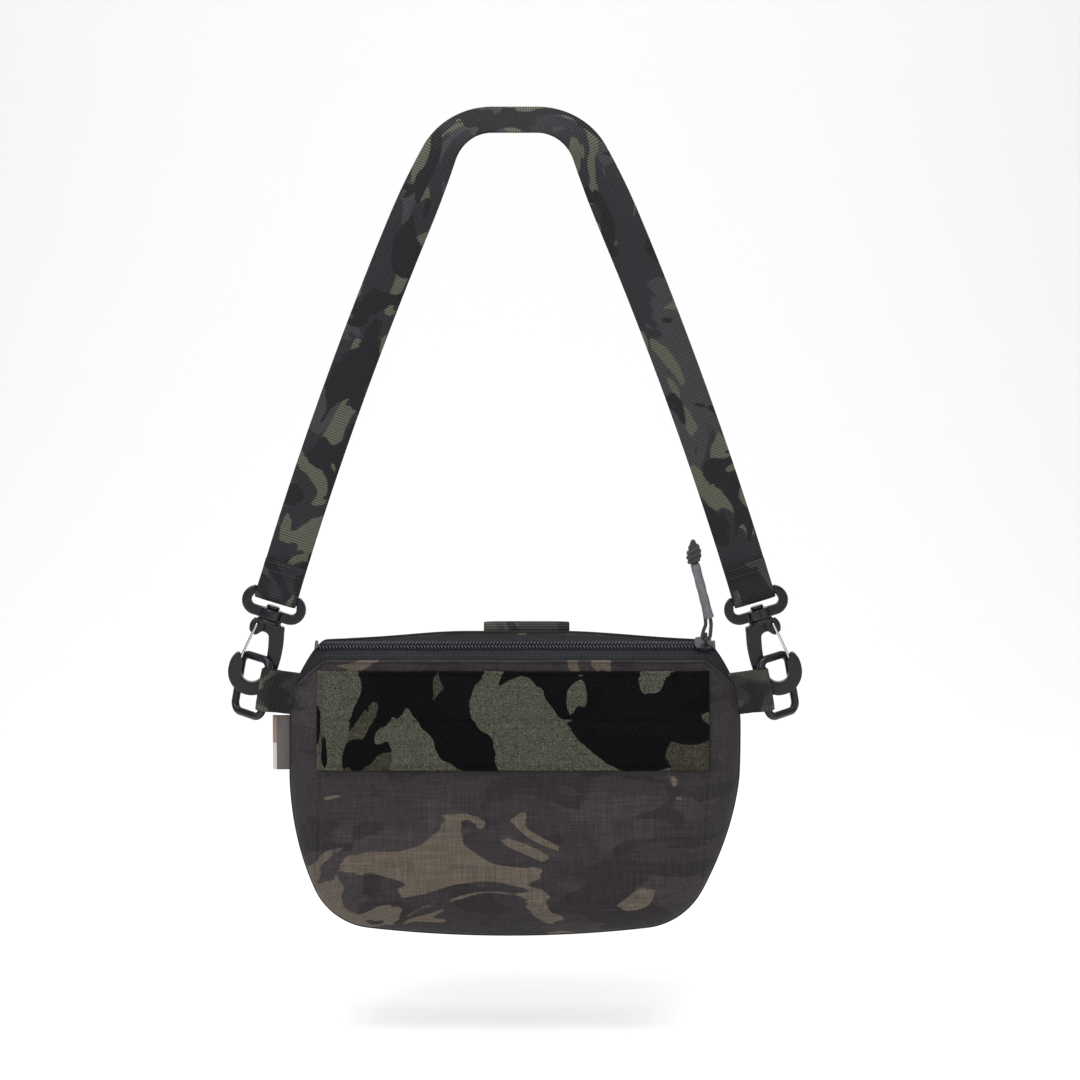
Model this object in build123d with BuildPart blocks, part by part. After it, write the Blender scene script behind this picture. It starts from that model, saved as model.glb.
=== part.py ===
"""Sling bag: a zipped half-round pouch that hangs from a webbing shoulder strap by two snap hooks.

Frame: the origin is the middle of the strap's crown, where the bag hangs. +Z is up, +X runs to the
right hand of someone facing the bag, and the bag's front faces -Y. All sizes are in millimetres.
"""

from math import asin, atan, cos, hypot, radians, sin
import os

from build123d import *

os.makedirs("parts", exist_ok=True)

# Webbing and clearances
webbing_width = 25.0
webbing_thickness = 1.6
running_clearance = 0.35  # between webbing and the bar it wraps
swivel_clearance = 0.1  # radial, round the swivel stud
face_clearance = 0.25  # between faces that turn against each other

# Shoulder strap: an outward-bowed leg on each side and a twisted crown between them
bar_half_spacing = 140.7  # from the middle to the centre of each eye's strap bar
bar_drop = 278.3  # from the crown down to the strap bars
lean_at_bar = 17.0
lean_at_crown = 24.0
crown_radius = 34.0
crown_twist = 50.0
twist_fade = 55.0  # the twist dies away over this length below the crown's bends
strap_end_overlap = 20.0
strap_fold_rise = 12.0  # where the two layers of a folded end meet, above the bar
stitch_size = 0.5

# Swivel eye
bar_radius = 2.4
eye_thickness = 5.0
eye_length = 38.6
eye_lobe_radius = 8.9
eye_window_length = 27.4
eye_arm_top = 8.3  # distances below the strap bar's centre, down the swivel axis
barrel_radius = 6.75
barrel_height = 6.1

# Snap hook and wire gate
stud_radius = 3.0
stud_head_radius = 4.0
stud_head_height = 1.9
collar_radius = 7.2
collar_height = 1.95
hook_thickness = 6.4
hook_yaw = -5.0  # how far the nose turns to the back; negative is to the front
ear_thickness = 3.3
bight_outer_radius = 14.1
bight_inner_radius = 6.2
bight_drop = 47.3
bight_offset = 1.3
gate_pivot_drop = 18.8
gate_pivot_offset = 6.5
gate_wire_radius = 0.7
gate_end_drop = 47.2
gate_end_offset = 10.9
gate_slot_width = 5.0
gate_side_gap = 0.55  # between the ear and the wire's legs

# Ring and side tab
ring_wire_radius = 2.35
ring_length = 34.3  # between the centres of its short sides
ring_reach = 23.0  # between the centres of its long sides
ring_corner_radius = 5.5
ring_yaw = 40.0
tab_lean = 10.0
tab_yaw = 16.0
tab_bar_x = 147.0
tab_bar_y = -8.6
tab_bar_z = -333.0
tab_fold_length = 9.0

# Bag body
bag_half_width = 132.8
bag_top_half_width = 121.5
bag_back_top_half_width = 114.5
bag_bottom = -480.9
bag_top_front = (-13.0, -316.0)
bag_top_back = (9.0, -300.0)
front_flat_end = (-24.5, -390.0)
back_flat_end = (17.0, -385.0)
fabric_thickness = 1.2
lining_thickness = 0.6
binding_thickness = 0.8
binding_width = 10.0
tape_end = -332.0
lining_drop = 9.0
seam_y = -4.0  # depth of the side seams, where the tabs and the label are sewn in

# Loop panel, hanger and label
panel_width = 229.0
panel_height = 56.5
panel_thickness = 2.0
panel_drop = 5.5  # below the front panel's top edge
hanger_width = 51.0
hanger_offset = 6.8
hanger_length = 66.0
hanger_rise = 4.5
belt_gap = 7.0
label_width = 10.6
label_height = 32.5
label_top = -349.0
label_thickness = 1.0

# Zip
neck_gap = 1.8
coil_width = 2.4
coil_height = 1.7
coil_half_length = 116.3
slider_x = 111.0
slider_length = 10.0
slider_wall = 1.2
slider_clearance = 0.35
neck_width = 0.9
bail_height = 5.0
bail_thickness = 1.8
stop_length = 2.0

# Zip pull: a doubled cord through the slider's bail, a shrunk sleeve and a knot
cord_diameter = 2.2
cord_half_spread = 2.3
sleeve_radius = 2.9
sleeve_wall = 0.45
sleeve_length = 35.0
cord_rise = 11.0
cord_tail = 0.5
pull_lean_low = 2.4
pull_lean_high = 15.0
knot_radius = 4.5
knot_length = 14.0


def finish(name, part):
    """Label a finished piece and write it as its own file."""
    part.label = name
    export_step(part, f"parts/{name}.step")


def on_side(side, piece):
    """A right-hand piece as it is, or mirrored to the left."""
    with BuildPart() as placed:
        if side == "left":
            mirror(piece, about=Plane.YZ)
        else:
            add(piece)
    return placed.part


# ---------------------------------------------------------------- strap


def strap_station(run):
    """Centre, heading and twist of the strap at a distance run from the crown, negative to the left.

    From the crown outwards it is level for a short way, then bends down on crown_radius until it
    leans by lean_at_crown, and then bows slowly to lean_at_bar at the strap bar.
    """
    arc_turn = radians(90 - lean_at_crown)
    leg_turn = radians(lean_at_crown - lean_at_bar)
    leg_rise = bar_drop - crown_radius * (1 - sin(radians(lean_at_crown)))
    leg_radius = leg_rise / (sin(radians(lean_at_crown)) - sin(radians(lean_at_bar)))
    leg_reach = leg_radius * (cos(radians(lean_at_bar)) - cos(radians(lean_at_crown)))
    level = bar_half_spacing - leg_reach - crown_radius * cos(radians(lean_at_crown))
    distance = abs(run)
    in_arc = min(max(distance - level, 0), crown_radius * arc_turn)
    in_leg = min(max(distance - level - in_arc, 0), leg_radius * leg_turn)
    past_arc = in_arc / crown_radius
    lean = radians(lean_at_crown) - in_leg / leg_radius
    x = min(distance, level) + crown_radius * sin(past_arc)
    x += leg_radius * (cos(lean) - cos(radians(lean_at_crown)))
    z = -crown_radius * (1 - cos(past_arc))
    z -= leg_radius * (sin(radians(lean_at_crown)) - sin(lean))
    heading = radians(90) - past_arc if in_leg == 0 else lean
    fade = min(max((distance - level) / (crown_radius * arc_turn + twist_fade), 0), 1)
    twist = radians(crown_twist) * (1 - fade * fade * (3 - 2 * fade))
    side = 1 if run >= 0 else -1
    return Vector(side * x, 0, z), Vector(sin(heading), 0, -side * cos(heading)), twist


def strap_length():
    """Length of the strap's centre line from the crown to a strap bar."""
    leg_rise = bar_drop - crown_radius * (1 - sin(radians(lean_at_crown)))
    leg_radius = leg_rise / (sin(radians(lean_at_crown)) - sin(radians(lean_at_bar)))
    leg_reach = leg_radius * (cos(radians(lean_at_bar)) - cos(radians(lean_at_crown)))
    level = bar_half_spacing - leg_reach - crown_radius * cos(radians(lean_at_crown))
    leg = leg_radius * radians(lean_at_crown - lean_at_bar)
    return level + crown_radius * radians(90 - lean_at_crown) + leg


def strap_plane(run):
    """Plane across the strap: its x runs along the band's width and its normal along the band."""
    centre, heading, twist = strap_station(run)
    across = Vector(-heading.Z, 0, heading.X) * cos(twist) + Vector(0, 1, 0) * sin(twist)
    return Plane(origin=centre, x_dir=across, z_dir=heading)


half_length = strap_length()
fold_start = half_length - strap_fold_rise
crown_steps = [run * 8.0 for run in range(-14, 15)]
leg_steps = [fold_start, 220.0, 150.0]
runs = [-run for run in leg_steps] + crown_steps + leg_steps[::-1]

bar_centre = Vector(bar_half_spacing, 0, -bar_drop)
down_axis = Vector(sin(radians(lean_at_bar)), 0, -cos(radians(lean_at_bar)))
out_axis = Vector(cos(radians(lean_at_bar)), 0, sin(radians(lean_at_bar)))
eye_plane = Plane(origin=bar_centre, x_dir=out_axis, z_dir=(0, -1, 0))
fold_plane = Plane(origin=bar_centre, x_dir=(0, 1, 0), z_dir=out_axis)


def folded_end(inner_radius, rise, length):
    """Side view of webbing folded round a bar at the origin, with its two layers upwards."""
    with BuildSketch() as outline:
        Circle(inner_radius + webbing_thickness)
        half = inner_radius + webbing_thickness
        with BuildLine():
            Polyline(
                (-half, 0),
                (half, 0),
                (webbing_thickness, rise),
                (webbing_thickness, length),
                (-webbing_thickness, length),
                (-webbing_thickness, rise),
                close=True,
            )
        make_face()
        Circle(inner_radius, mode=Mode.SUBTRACT)
        with BuildLine():
            Polyline((-inner_radius, 0), (inner_radius, 0), (0, rise - 1.0), close=True)
        make_face(mode=Mode.SUBTRACT)
    return outline.sketch


with BuildPart() as strap_right:
    with BuildSketch(fold_plane):
        add(folded_end(bar_radius + running_clearance, strap_fold_rise, strap_end_overlap))
    extrude(amount=webbing_width / 2, both=True)

with BuildPart() as strap:
    for run in runs:
        with BuildSketch(strap_plane(run)):
            Rectangle(webbing_width, webbing_thickness)
    loft(ruled=True)
    add(strap_right.part)
    mirror(strap_right.part, about=Plane.YZ)
finish("strap", strap.part)

with BuildPart() as stitching_right:
    for front in (-1, 1):
        face = Plane(
            origin=bar_centre - down_axis * strap_end_overlap + Vector(0, front * webbing_thickness, 0),
            x_dir=out_axis,
            z_dir=(0, front, 0),
        )
        toward_bar = 1 if face.y_dir.Z < 0 else -1
        with BuildSketch(face):
            with Locations((0, toward_bar * 1.5), (0, toward_bar * 6.0)):
                Rectangle(webbing_width - 4, stitch_size)
        extrude(amount=stitch_size)
with BuildPart() as strap_stitching:
    add(stitching_right.part)
    mirror(stitching_right.part, about=Plane.YZ)
finish("strap_stitching", strap_stitching.part)


# ---------------------------------------------------------------- swivel eyes

arm_centre = 2 * eye_lobe_radius - 3.4 - eye_lobe_radius  # middle of the eye below the bar
barrel_plane = Plane(origin=bar_centre + down_axis * eye_arm_top, x_dir=out_axis, z_dir=down_axis)
strap_side = webbing_width / 2 + 0.7

with BuildPart() as eye:
    with BuildSketch(eye_plane):
        with Locations((0, -arm_centre)):
            SlotOverall(eye_length, 2 * eye_lobe_radius)
        with Locations((0, -(eye_arm_top + bar_radius) / 2)):
            SlotOverall(eye_window_length, eye_arm_top - bar_radius, mode=Mode.SUBTRACT)
        with Locations((0, 0)):
            Rectangle(2 * strap_side, 2 * eye_lobe_radius - 6.0, mode=Mode.SUBTRACT)
        with Locations((0, -eye_arm_top - 1)):
            Rectangle(2 * strap_side, 2.0)
    extrude(amount=eye_thickness / 2, both=True)
    with Locations(Plane(origin=bar_centre, z_dir=out_axis).location):
        Cylinder(bar_radius, 2 * strap_side + 2)
    with BuildSketch(barrel_plane):
        Circle(barrel_radius)
    extrude(amount=barrel_height)
    with BuildSketch(barrel_plane.offset(-1)):
        Circle(stud_radius + swivel_clearance)
    extrude(amount=barrel_height + 2, mode=Mode.SUBTRACT)
for side in ("left", "right"):
    finish(f"eye_{side}", on_side(side, eye.part))


# ---------------------------------------------------------------- snap hooks

hook_out = out_axis * cos(radians(hook_yaw)) + Vector(0, 1, 0) * sin(radians(hook_yaw))
hook_plane = Plane(origin=bar_centre, x_dir=hook_out, z_dir=hook_out.cross(-down_axis))
collar_top = eye_arm_top + barrel_height + face_clearance
body_top = collar_top + collar_height
head_bottom = eye_arm_top - face_clearance
bight_left = bight_offset - bight_outer_radius
bight_right = bight_offset + bight_outer_radius
inner_left = bight_offset - bight_inner_radius
inner_right = bight_offset + bight_inner_radius


def down_the_hook(drop):
    """Plane across the swivel axis at a distance below the strap bar, facing down."""
    return Plane(origin=bar_centre + down_axis * drop, x_dir=hook_out, z_dir=down_axis)


shoulder_half = 10.0
hook_back = (-12.3, -29.0)  # the middle of the curved back
tip_outer_side = (15.0, -42.6)
tip_outer = (13.2, -38.8)
tip_top = (11.9, -38.3)
tip_inner = (10.6, -39.2)
tip_inner_side = (8.4, -43.0)
throat_side = (-4.4, -35.0)
throat_left = (-2.5, -25.5)
throat_top = (0.6, -22.4)
throat_right = (3.8, -24.4)
ear_bottom = (5.6, -26.0)
ear_corner = (9.4, -24.4)
ear_side = (10.4, -19.5)

with BuildPart() as hook:
    with BuildSketch(hook_plane):
        with BuildLine():
            Line((-shoulder_half, -body_top), (-shoulder_half - 0.4, -body_top - 3))
            ThreePointArc(
                (-shoulder_half - 0.4, -body_top - 3), hook_back, (bight_left, -bight_drop + 6)
            )
            Line((bight_left, -bight_drop + 6), (bight_left, -bight_drop))
            ThreePointArc(
                (bight_left, -bight_drop),
                (bight_offset, -bight_drop - bight_outer_radius),
                (bight_right, -bight_drop),
            )
            ThreePointArc((bight_right, -bight_drop), tip_outer_side, tip_outer)
            ThreePointArc(tip_outer, tip_top, tip_inner)
            ThreePointArc(tip_inner, tip_inner_side, (inner_right, -bight_drop))
            ThreePointArc(
                (inner_right, -bight_drop),
                (bight_offset, -bight_drop - bight_inner_radius),
                (inner_left, -bight_drop),
            )
            ThreePointArc((inner_left, -bight_drop), throat_side, throat_left)
            ThreePointArc(throat_left, throat_top, throat_right)
            Line(throat_right, ear_bottom)
            Line(ear_bottom, ear_corner)
            ThreePointArc(ear_corner, ear_side, (8.5, -body_top + 0.9))
            Line((8.5, -body_top + 0.9), (5.0, -body_top))
            Line((5.0, -body_top), (-shoulder_half, -body_top))
        make_face()
    extrude(amount=hook_thickness / 2, both=True)
    with BuildSketch(hook_plane.offset(hook_thickness / 2)):
        with Locations((8.0, -(body_top + 28.0) / 2)):
            Rectangle(13.0, 28.0 - body_top + 2.4)
    extrude(amount=-(hook_thickness - ear_thickness) / 2, mode=Mode.SUBTRACT)
    with BuildSketch(hook_plane.offset(-hook_thickness / 2)):
        with Locations((8.0, -(body_top + 28.0) / 2)):
            Rectangle(13.0, 28.0 - body_top + 2.4)
    extrude(amount=(hook_thickness - ear_thickness) / 2, mode=Mode.SUBTRACT)
    with BuildSketch(hook_plane):
        with Locations((gate_pivot_offset, -gate_pivot_drop)):
            Circle(gate_wire_radius + swivel_clearance)
    extrude(amount=hook_thickness, both=True, mode=Mode.SUBTRACT)
    with BuildSketch(hook_plane):
        with Locations((gate_end_offset - 2.6, -gate_end_drop + 4.3)):
            Rectangle(8.0, 11.0)
    extrude(amount=gate_slot_width / 2, both=True, mode=Mode.SUBTRACT)
    with BuildSketch(down_the_hook(collar_top)):
        Circle(collar_radius)
    extrude(amount=collar_height)
    with BuildSketch(down_the_hook(head_bottom)):
        Circle(stud_radius)
    extrude(amount=collar_top - head_bottom)
    with BuildSketch(down_the_hook(head_bottom - stud_head_height)):
        Circle(stud_head_radius)
    extrude(amount=stud_head_height)
for side in ("left", "right"):
    finish(f"hook_{side}", on_side(side, hook.part))

leg_start = ear_thickness / 2 + gate_side_gap + gate_wire_radius
leg_end = 1.35
pivot = (gate_pivot_offset, -gate_pivot_drop)
gate_end = (gate_end_offset, -gate_end_drop)
gate_points = [
    hook_plane.from_local_coords((*place, depth))
    for place, depth in (
        (pivot, 0.3),
        (pivot, leg_start),
        (gate_end, leg_end),
        (gate_end, -leg_end),
        (pivot, -leg_start),
        (pivot, -0.3),
    )
]
with BuildPart() as gate:
    with BuildLine() as gate_path:
        FilletPolyline(*gate_points, radius=1.1)
    with BuildSketch(Plane(origin=gate_path.line @ 0, z_dir=gate_path.line % 0)):
        Circle(gate_wire_radius)
    sweep()
for side in ("left", "right"):
    finish(f"gate_{side}", on_side(side, gate.part))


# ---------------------------------------------------------------- rings and side tabs

tab_bar = Vector(tab_bar_x, tab_bar_y, tab_bar_z)
tab_out = Vector(cos(radians(tab_lean)), 0, sin(radians(tab_lean)))
tab_up = Vector(-sin(radians(tab_lean)), 0, cos(radians(tab_lean)))
ring_out = tab_out * cos(radians(ring_yaw)) + Vector(0, 1, 0) * sin(radians(ring_yaw))
ring_plane = Plane(
    origin=tab_bar + ring_out * ring_reach / 2, x_dir=ring_out, z_dir=ring_out.cross(tab_up)
)
tab_in = -tab_out * cos(radians(tab_yaw)) + Vector(0, 1, 0) * sin(radians(tab_yaw))
tab_plane = Plane(origin=tab_bar, x_dir=tab_up.cross(tab_in) * -1, z_dir=tab_up)

with BuildPart() as ring:
    with BuildLine(ring_plane) as ring_path:
        half_reach = ring_reach / 2
        half_ring = ring_length / 2
        FilletPolyline(
            (half_reach, -half_ring),
            (half_reach, half_ring),
            (-half_reach, half_ring),
            (-half_reach, -half_ring),
            radius=ring_corner_radius,
            close=True,
        )
    with BuildSketch(Plane(origin=ring_path.line @ 0, z_dir=ring_path.line % 0)):
        Circle(ring_wire_radius)
    sweep()
for side in ("left", "right"):
    finish(f"ring_{side}", on_side(side, ring.part))


# ---------------------------------------------------------------- bag body


shoulder_low = -312.7
shoulder_side = (131.0, -334.0)
side_top = -352.0
side_bottom = -385.0
low_bulge = (127.2, -420.0)
low_corner = (115.5, -452.0)
corner_bulge = (104.3, -467.0)
bottom_corner = (86.0, -475.8)
front_belly = (-24.8, -432.0)
back_belly = (17.2, -432.0)
hem_front = (-15.0, -474.0)
hem_middle = -3.0
hem_back = (8.0, -474.0)


def front_view(inset):
    """The bag's outline from the front, moved inwards by inset."""
    with BuildSketch(Plane.XZ) as outline:
        with BuildLine():
            right = Polyline(
                (bag_back_top_half_width, bag_top_back[1] + 2),
                (bag_top_half_width, shoulder_low),
                shoulder_side,
                (bag_half_width, side_top),
                (bag_half_width, side_bottom),
            )
            low = ThreePointArc((bag_half_width, side_bottom), low_bulge, low_corner)
            corner = ThreePointArc(low_corner, corner_bulge, bottom_corner)
            mirror(right + low + corner, about=Plane.YZ)
            ThreePointArc(bottom_corner, (0, bag_bottom), (-bottom_corner[0], bottom_corner[1]))
            Line(
                (-bag_back_top_half_width, bag_top_back[1] + 2),
                (bag_back_top_half_width, bag_top_back[1] + 2),
            )
        make_face()
        if inset:
            offset(amount=-inset, kind=Kind.INTERSECTION)
    return outline.sketch


def side_view(inset):
    """The bag's outline from its right side, moved inwards by inset."""
    with BuildSketch(Plane.YZ) as outline:
        with BuildLine():
            Line(bag_top_front, front_flat_end)
            ThreePointArc(front_flat_end, front_belly, hem_front)
            ThreePointArc(hem_front, (hem_middle, bag_bottom), hem_back)
            ThreePointArc(hem_back, back_belly, back_flat_end)
            Line(back_flat_end, bag_top_back)
            Line(bag_top_back, bag_top_front)
        make_face()
        if inset:
            offset(amount=-inset, kind=Kind.INTERSECTION)
    return outline.sketch


def bag_body(inset):
    """The bag as one closed solid, moved inwards by inset on every side."""
    with BuildPart() as body:
        extrude(front_view(inset), amount=60, both=True)
        extrude(side_view(inset), amount=160, both=True, mode=Mode.INTERSECT)
    return body.part


top_run = hypot(bag_top_back[0] - bag_top_front[0], bag_top_back[1] - bag_top_front[1])
top_slope = asin((bag_top_back[1] - bag_top_front[1]) / top_run)
top_middle = (
    0,
    (bag_top_back[0] + bag_top_front[0]) / 2,
    (bag_top_back[1] + bag_top_front[1]) / 2,
)
top_plane = Plane(origin=top_middle, x_dir=(1, 0, 0), z_dir=(0, -sin(top_slope), cos(top_slope)))
front_lean = atan((bag_top_front[0] - front_flat_end[0]) / (bag_top_front[1] - front_flat_end[1]))

outer_body = bag_body(0)
lining_body = bag_body(fabric_thickness)

with BuildPart() as tape_core:
    extrude(front_view(fabric_thickness), amount=60, both=True)
    with BuildSketch(top_plane.offset(-fabric_thickness)):
        Rectangle(400, 200)
    extrude(amount=60, mode=Mode.SUBTRACT)

with BuildPart() as shell:
    add(outer_body)
    add(lining_body, mode=Mode.SUBTRACT)

with BuildPart() as rim:
    add(outer_body)
    add(tape_core.part, mode=Mode.SUBTRACT)
    split(bisect_by=Plane.XY.offset(tape_end), keep=Keep.TOP)

with BuildPart() as panels:
    add(shell.part)
    add(rim.part, mode=Mode.SUBTRACT)
for name, keep in (("front_panel", Keep.TOP), ("back_panel", Keep.BOTTOM)):
    with BuildPart() as panel:
        add(panels.part)
        split(bisect_by=Plane.XZ.offset(-seam_y), keep=keep)
    finish(name, panel.part)

for name, toward in (("zip_tape_front", -1), ("zip_tape_back", 1)):
    with BuildPart() as tape:
        add(rim.part)
        with BuildSketch(top_plane.offset(-60)):
            with Locations((0, -toward * (100 - neck_gap / 2))):
                Rectangle(400, 200)
        extrude(amount=120, mode=Mode.SUBTRACT)
    finish(name, tape.part)

for name, toward in (("zip_coil_front", -1), ("zip_coil_back", 1)):
    with BuildPart() as coil:
        with BuildSketch(top_plane):
            with Locations((0, toward * (neck_gap + coil_width) / 2)):
                Rectangle(2 * coil_half_length, coil_width)
        extrude(amount=coil_height)
        fillet(coil.faces().sort_by(Axis.Z)[-1].edges().filter_by(Axis.X), 0.5)
    finish(name, coil.part)

for name, end in (("zip_stop_left", -1), ("zip_stop_right", 1)):
    with BuildPart() as stop:
        with BuildSketch(top_plane):
            with Locations((end * (coil_half_length + stop_length / 2), 0)):
                RectangleRounded(stop_length, neck_gap + 2 * coil_width, 0.6)
        extrude(amount=coil_height)
    finish(name, stop.part)

with BuildPart() as lining:
    add(lining_body)
    add(bag_body(fabric_thickness + lining_thickness), mode=Mode.SUBTRACT)
    with BuildSketch(top_plane.offset(-lining_drop)):
        Rectangle(400, 200)
    extrude(amount=60, mode=Mode.SUBTRACT)
finish("lining", lining.part)

with BuildPart() as seam_binding:
    add(bag_body(fabric_thickness + lining_thickness))
    add(bag_body(fabric_thickness + lining_thickness + binding_thickness), mode=Mode.SUBTRACT)
    with BuildSketch(Plane.XZ.offset(-seam_y)):
        with Locations((0, tape_end - 4 - 100)):
            Rectangle(400, 200)
    extrude(amount=binding_width / 2, both=True, mode=Mode.INTERSECT)
finish("seam_binding", seam_binding.part)

panel_plane = Plane(
    origin=(0, *bag_top_front),
    x_dir=(1, 0, 0),
    z_dir=(0, -cos(front_lean), sin(front_lean)),
)
with BuildPart() as loop_panel:
    with BuildSketch(panel_plane):
        with Locations((0, -panel_drop - panel_height / 2)):
            RectangleRounded(panel_width, panel_height, 2.0)
    extrude(amount=panel_thickness)
finish("loop_panel", loop_panel.part)

back_run = hypot(back_flat_end[0] - bag_top_back[0], back_flat_end[1] - bag_top_back[1])
back_down = Vector(0, back_flat_end[0] - bag_top_back[0], back_flat_end[1] - bag_top_back[1]) / back_run
back_out = Vector(0, -back_down.Z, back_down.Y)
hanger_depth = belt_gap + 2 * webbing_thickness
hanger_plane = Plane(
    origin=Vector(hanger_offset, *bag_top_back)
    + back_down * (hanger_length / 2 - hanger_rise)
    + back_out * hanger_depth / 2,
    x_dir=back_down,
    z_dir=(1, 0, 0),
)
with BuildPart() as rear_hanger:
    with BuildSketch(hanger_plane):
        SlotOverall(hanger_length, hanger_depth)
        offset(amount=-webbing_thickness, mode=Mode.SUBTRACT)
    extrude(amount=hanger_width / 2, both=True)
finish("rear_hanger", rear_hanger.part)

with BuildPart() as side_label:
    with BuildSketch(Plane.XZ.offset(-seam_y - 2.0)):
        with Locations((-bag_half_width - label_width + 10, label_top - label_height / 2)):
            Rectangle(20, label_height)
    extrude(amount=label_thickness / 2, both=True)
    add(outer_body, mode=Mode.SUBTRACT)
finish("side_label", side_label.part)

with BuildPart() as side_tab:
    with BuildSketch(tab_plane):
        add(folded_end(ring_wire_radius + running_clearance, tab_fold_length, 24.0))
    extrude(amount=webbing_width / 2, both=True)
    add(outer_body, mode=Mode.SUBTRACT)
tab_piece = side_tab.part.solids().sort_by(Axis.X)[-1]
for side in ("left", "right"):
    finish(f"side_tab_{side}", on_side(side, tab_piece))


# ---------------------------------------------------------------- slider and pull

slider_top = coil_height + slider_clearance
slider_bottom = -fabric_thickness - slider_clearance
coil_edge = neck_gap / 2 + coil_width
slider_half_width = coil_edge + slider_clearance + slider_wall

with BuildPart() as zip_slider:
    with BuildSketch(top_plane.offset(slider_top)):
        with Locations((slider_x, 0)):
            RectangleRounded(slider_length, 2 * slider_half_width, 2.5)
    extrude(amount=slider_wall)
    with BuildSketch(top_plane.offset(slider_clearance)):
        with Locations(
            (slider_x, slider_half_width - slider_wall / 2),
            (slider_x, -slider_half_width + slider_wall / 2),
        ):
            Rectangle(slider_length - 5.0, slider_wall)
    extrude(amount=slider_top - slider_clearance)
    with BuildSketch(top_plane.offset(slider_bottom)):
        with Locations((slider_x, 0)):
            RectangleRounded(slider_length, 2 * slider_half_width, 2.5)
    extrude(amount=-slider_wall)
    with BuildSketch(top_plane.offset(slider_bottom)):
        with Locations((slider_x, 0)):
            Rectangle(3.0, neck_width)
    extrude(amount=slider_top - slider_bottom)
finish("zip_slider", zip_slider.part)

bail_base = top_plane.from_local_coords((slider_x + 1.5, 0, slider_top + slider_wall))
bail_plane = Plane(origin=bail_base, x_dir=top_plane.y_dir, z_dir=(1, 0, 0))
hole_radius = cord_diameter / 2 + 0.6
with BuildPart() as slider_bail:
    with BuildSketch(bail_plane):
        with Locations((0, bail_height / 2)):
            Rectangle(2 * hole_radius + 3.0, bail_height)
        with Locations((0, bail_height / 2)):
            Circle(hole_radius, mode=Mode.SUBTRACT)
    extrude(amount=bail_thickness / 2, both=True)
finish("slider_bail", slider_bail.part)

hole = bail_plane.from_local_coords((0, bail_height / 2, 0))
low_up = Vector(-sin(radians(pull_lean_low)), 0, cos(radians(pull_lean_low)))
high_up = Vector(-sin(radians(pull_lean_high)), 0, cos(radians(pull_lean_high)))
low_across = Vector(low_up.Z, 0, -low_up.X)
high_across = Vector(high_up.Z, 0, -high_up.X)
sleeve_start = hole + low_up * cord_rise
sleeve_end = sleeve_start + high_up * sleeve_length
cord_end = sleeve_end + high_up * cord_tail
strand = cord_diameter / 2 + 0.05

cord_points = [
    cord_end - high_across * strand,
    sleeve_start - high_across * strand + high_up * 0.5,
    hole - low_across * cord_half_spread + low_up * 4.5,
    hole - low_across * cord_half_spread,
    hole + low_across * cord_half_spread,
    hole + low_across * cord_half_spread + low_up * 4.5,
    sleeve_start + high_across * strand + high_up * 0.5,
    cord_end + high_across * strand,
]


def route_radii(points, most):
    """One radius for each inner point: 0.45 of the shorter run beside it over the tangent of half
    the turn, and no more than most."""
    radii = []
    for before, here, after in zip(points, points[1:], points[2:]):
        turn = radians((here - before).get_angle(after - here))
        shorter = min((here - before).length, (after - here).length)
        radii.append(min(most, 0.45 * shorter / (sin(turn / 2) / cos(turn / 2))))
    return radii


cord_radii = route_radii(cord_points, 40.0)
print("cord radii:", [round(radius, 2) for radius in cord_radii])
with BuildPart() as pull_cord:
    with BuildLine() as cord_path:
        FilletPolyline(*cord_points, radius=cord_radii)
    with BuildSketch(Plane(origin=cord_path.line @ 0, z_dir=cord_path.line % 0)):
        Circle(cord_diameter / 2)
    sweep()
finish("pull_cord", pull_cord.part)
print("cord length:", round(sum(edge.length for edge in cord_path.edges()), 1))

sleeve_plane = Plane(origin=sleeve_start + high_up * 1.5, z_dir=high_up)
with BuildPart() as pull_sleeve:
    with BuildSketch(sleeve_plane):
        Circle(sleeve_radius)
        Circle(sleeve_radius - sleeve_wall, mode=Mode.SUBTRACT)
    extrude(amount=sleeve_length - 1.5)
finish("pull_sleeve", pull_sleeve.part)

knot_plane = Plane(origin=cord_end, x_dir=(0, 1, 0), z_dir=high_across)
with BuildPart() as pull_knot:
    with BuildSketch(knot_plane):
        with Locations((0, knot_length / 2)):
            Ellipse(knot_radius, knot_length / 2)
        with Locations((-knot_radius, knot_length / 2)):
            Rectangle(2 * knot_radius, knot_length, mode=Mode.SUBTRACT)
    revolve(axis=Axis(cord_end, high_up))
finish("pull_knot", pull_knot.part)
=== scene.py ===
"""Sling bag: cloth, webbing, zip and moulded hardware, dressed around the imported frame."""

import bmesh
import bpy
import numpy as np
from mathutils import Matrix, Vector


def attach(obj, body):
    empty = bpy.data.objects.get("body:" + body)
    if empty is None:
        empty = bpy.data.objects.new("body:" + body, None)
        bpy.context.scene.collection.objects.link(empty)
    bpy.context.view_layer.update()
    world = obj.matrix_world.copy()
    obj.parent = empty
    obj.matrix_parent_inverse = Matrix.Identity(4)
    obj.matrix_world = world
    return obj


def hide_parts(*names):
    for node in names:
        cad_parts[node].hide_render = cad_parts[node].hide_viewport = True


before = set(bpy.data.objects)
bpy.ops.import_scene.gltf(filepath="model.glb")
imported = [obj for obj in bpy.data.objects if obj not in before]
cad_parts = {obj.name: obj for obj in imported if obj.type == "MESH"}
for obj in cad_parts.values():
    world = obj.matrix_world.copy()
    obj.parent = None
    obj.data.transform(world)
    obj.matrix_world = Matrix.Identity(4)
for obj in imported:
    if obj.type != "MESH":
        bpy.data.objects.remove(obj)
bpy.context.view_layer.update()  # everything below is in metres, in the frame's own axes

mm = 0.001

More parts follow.
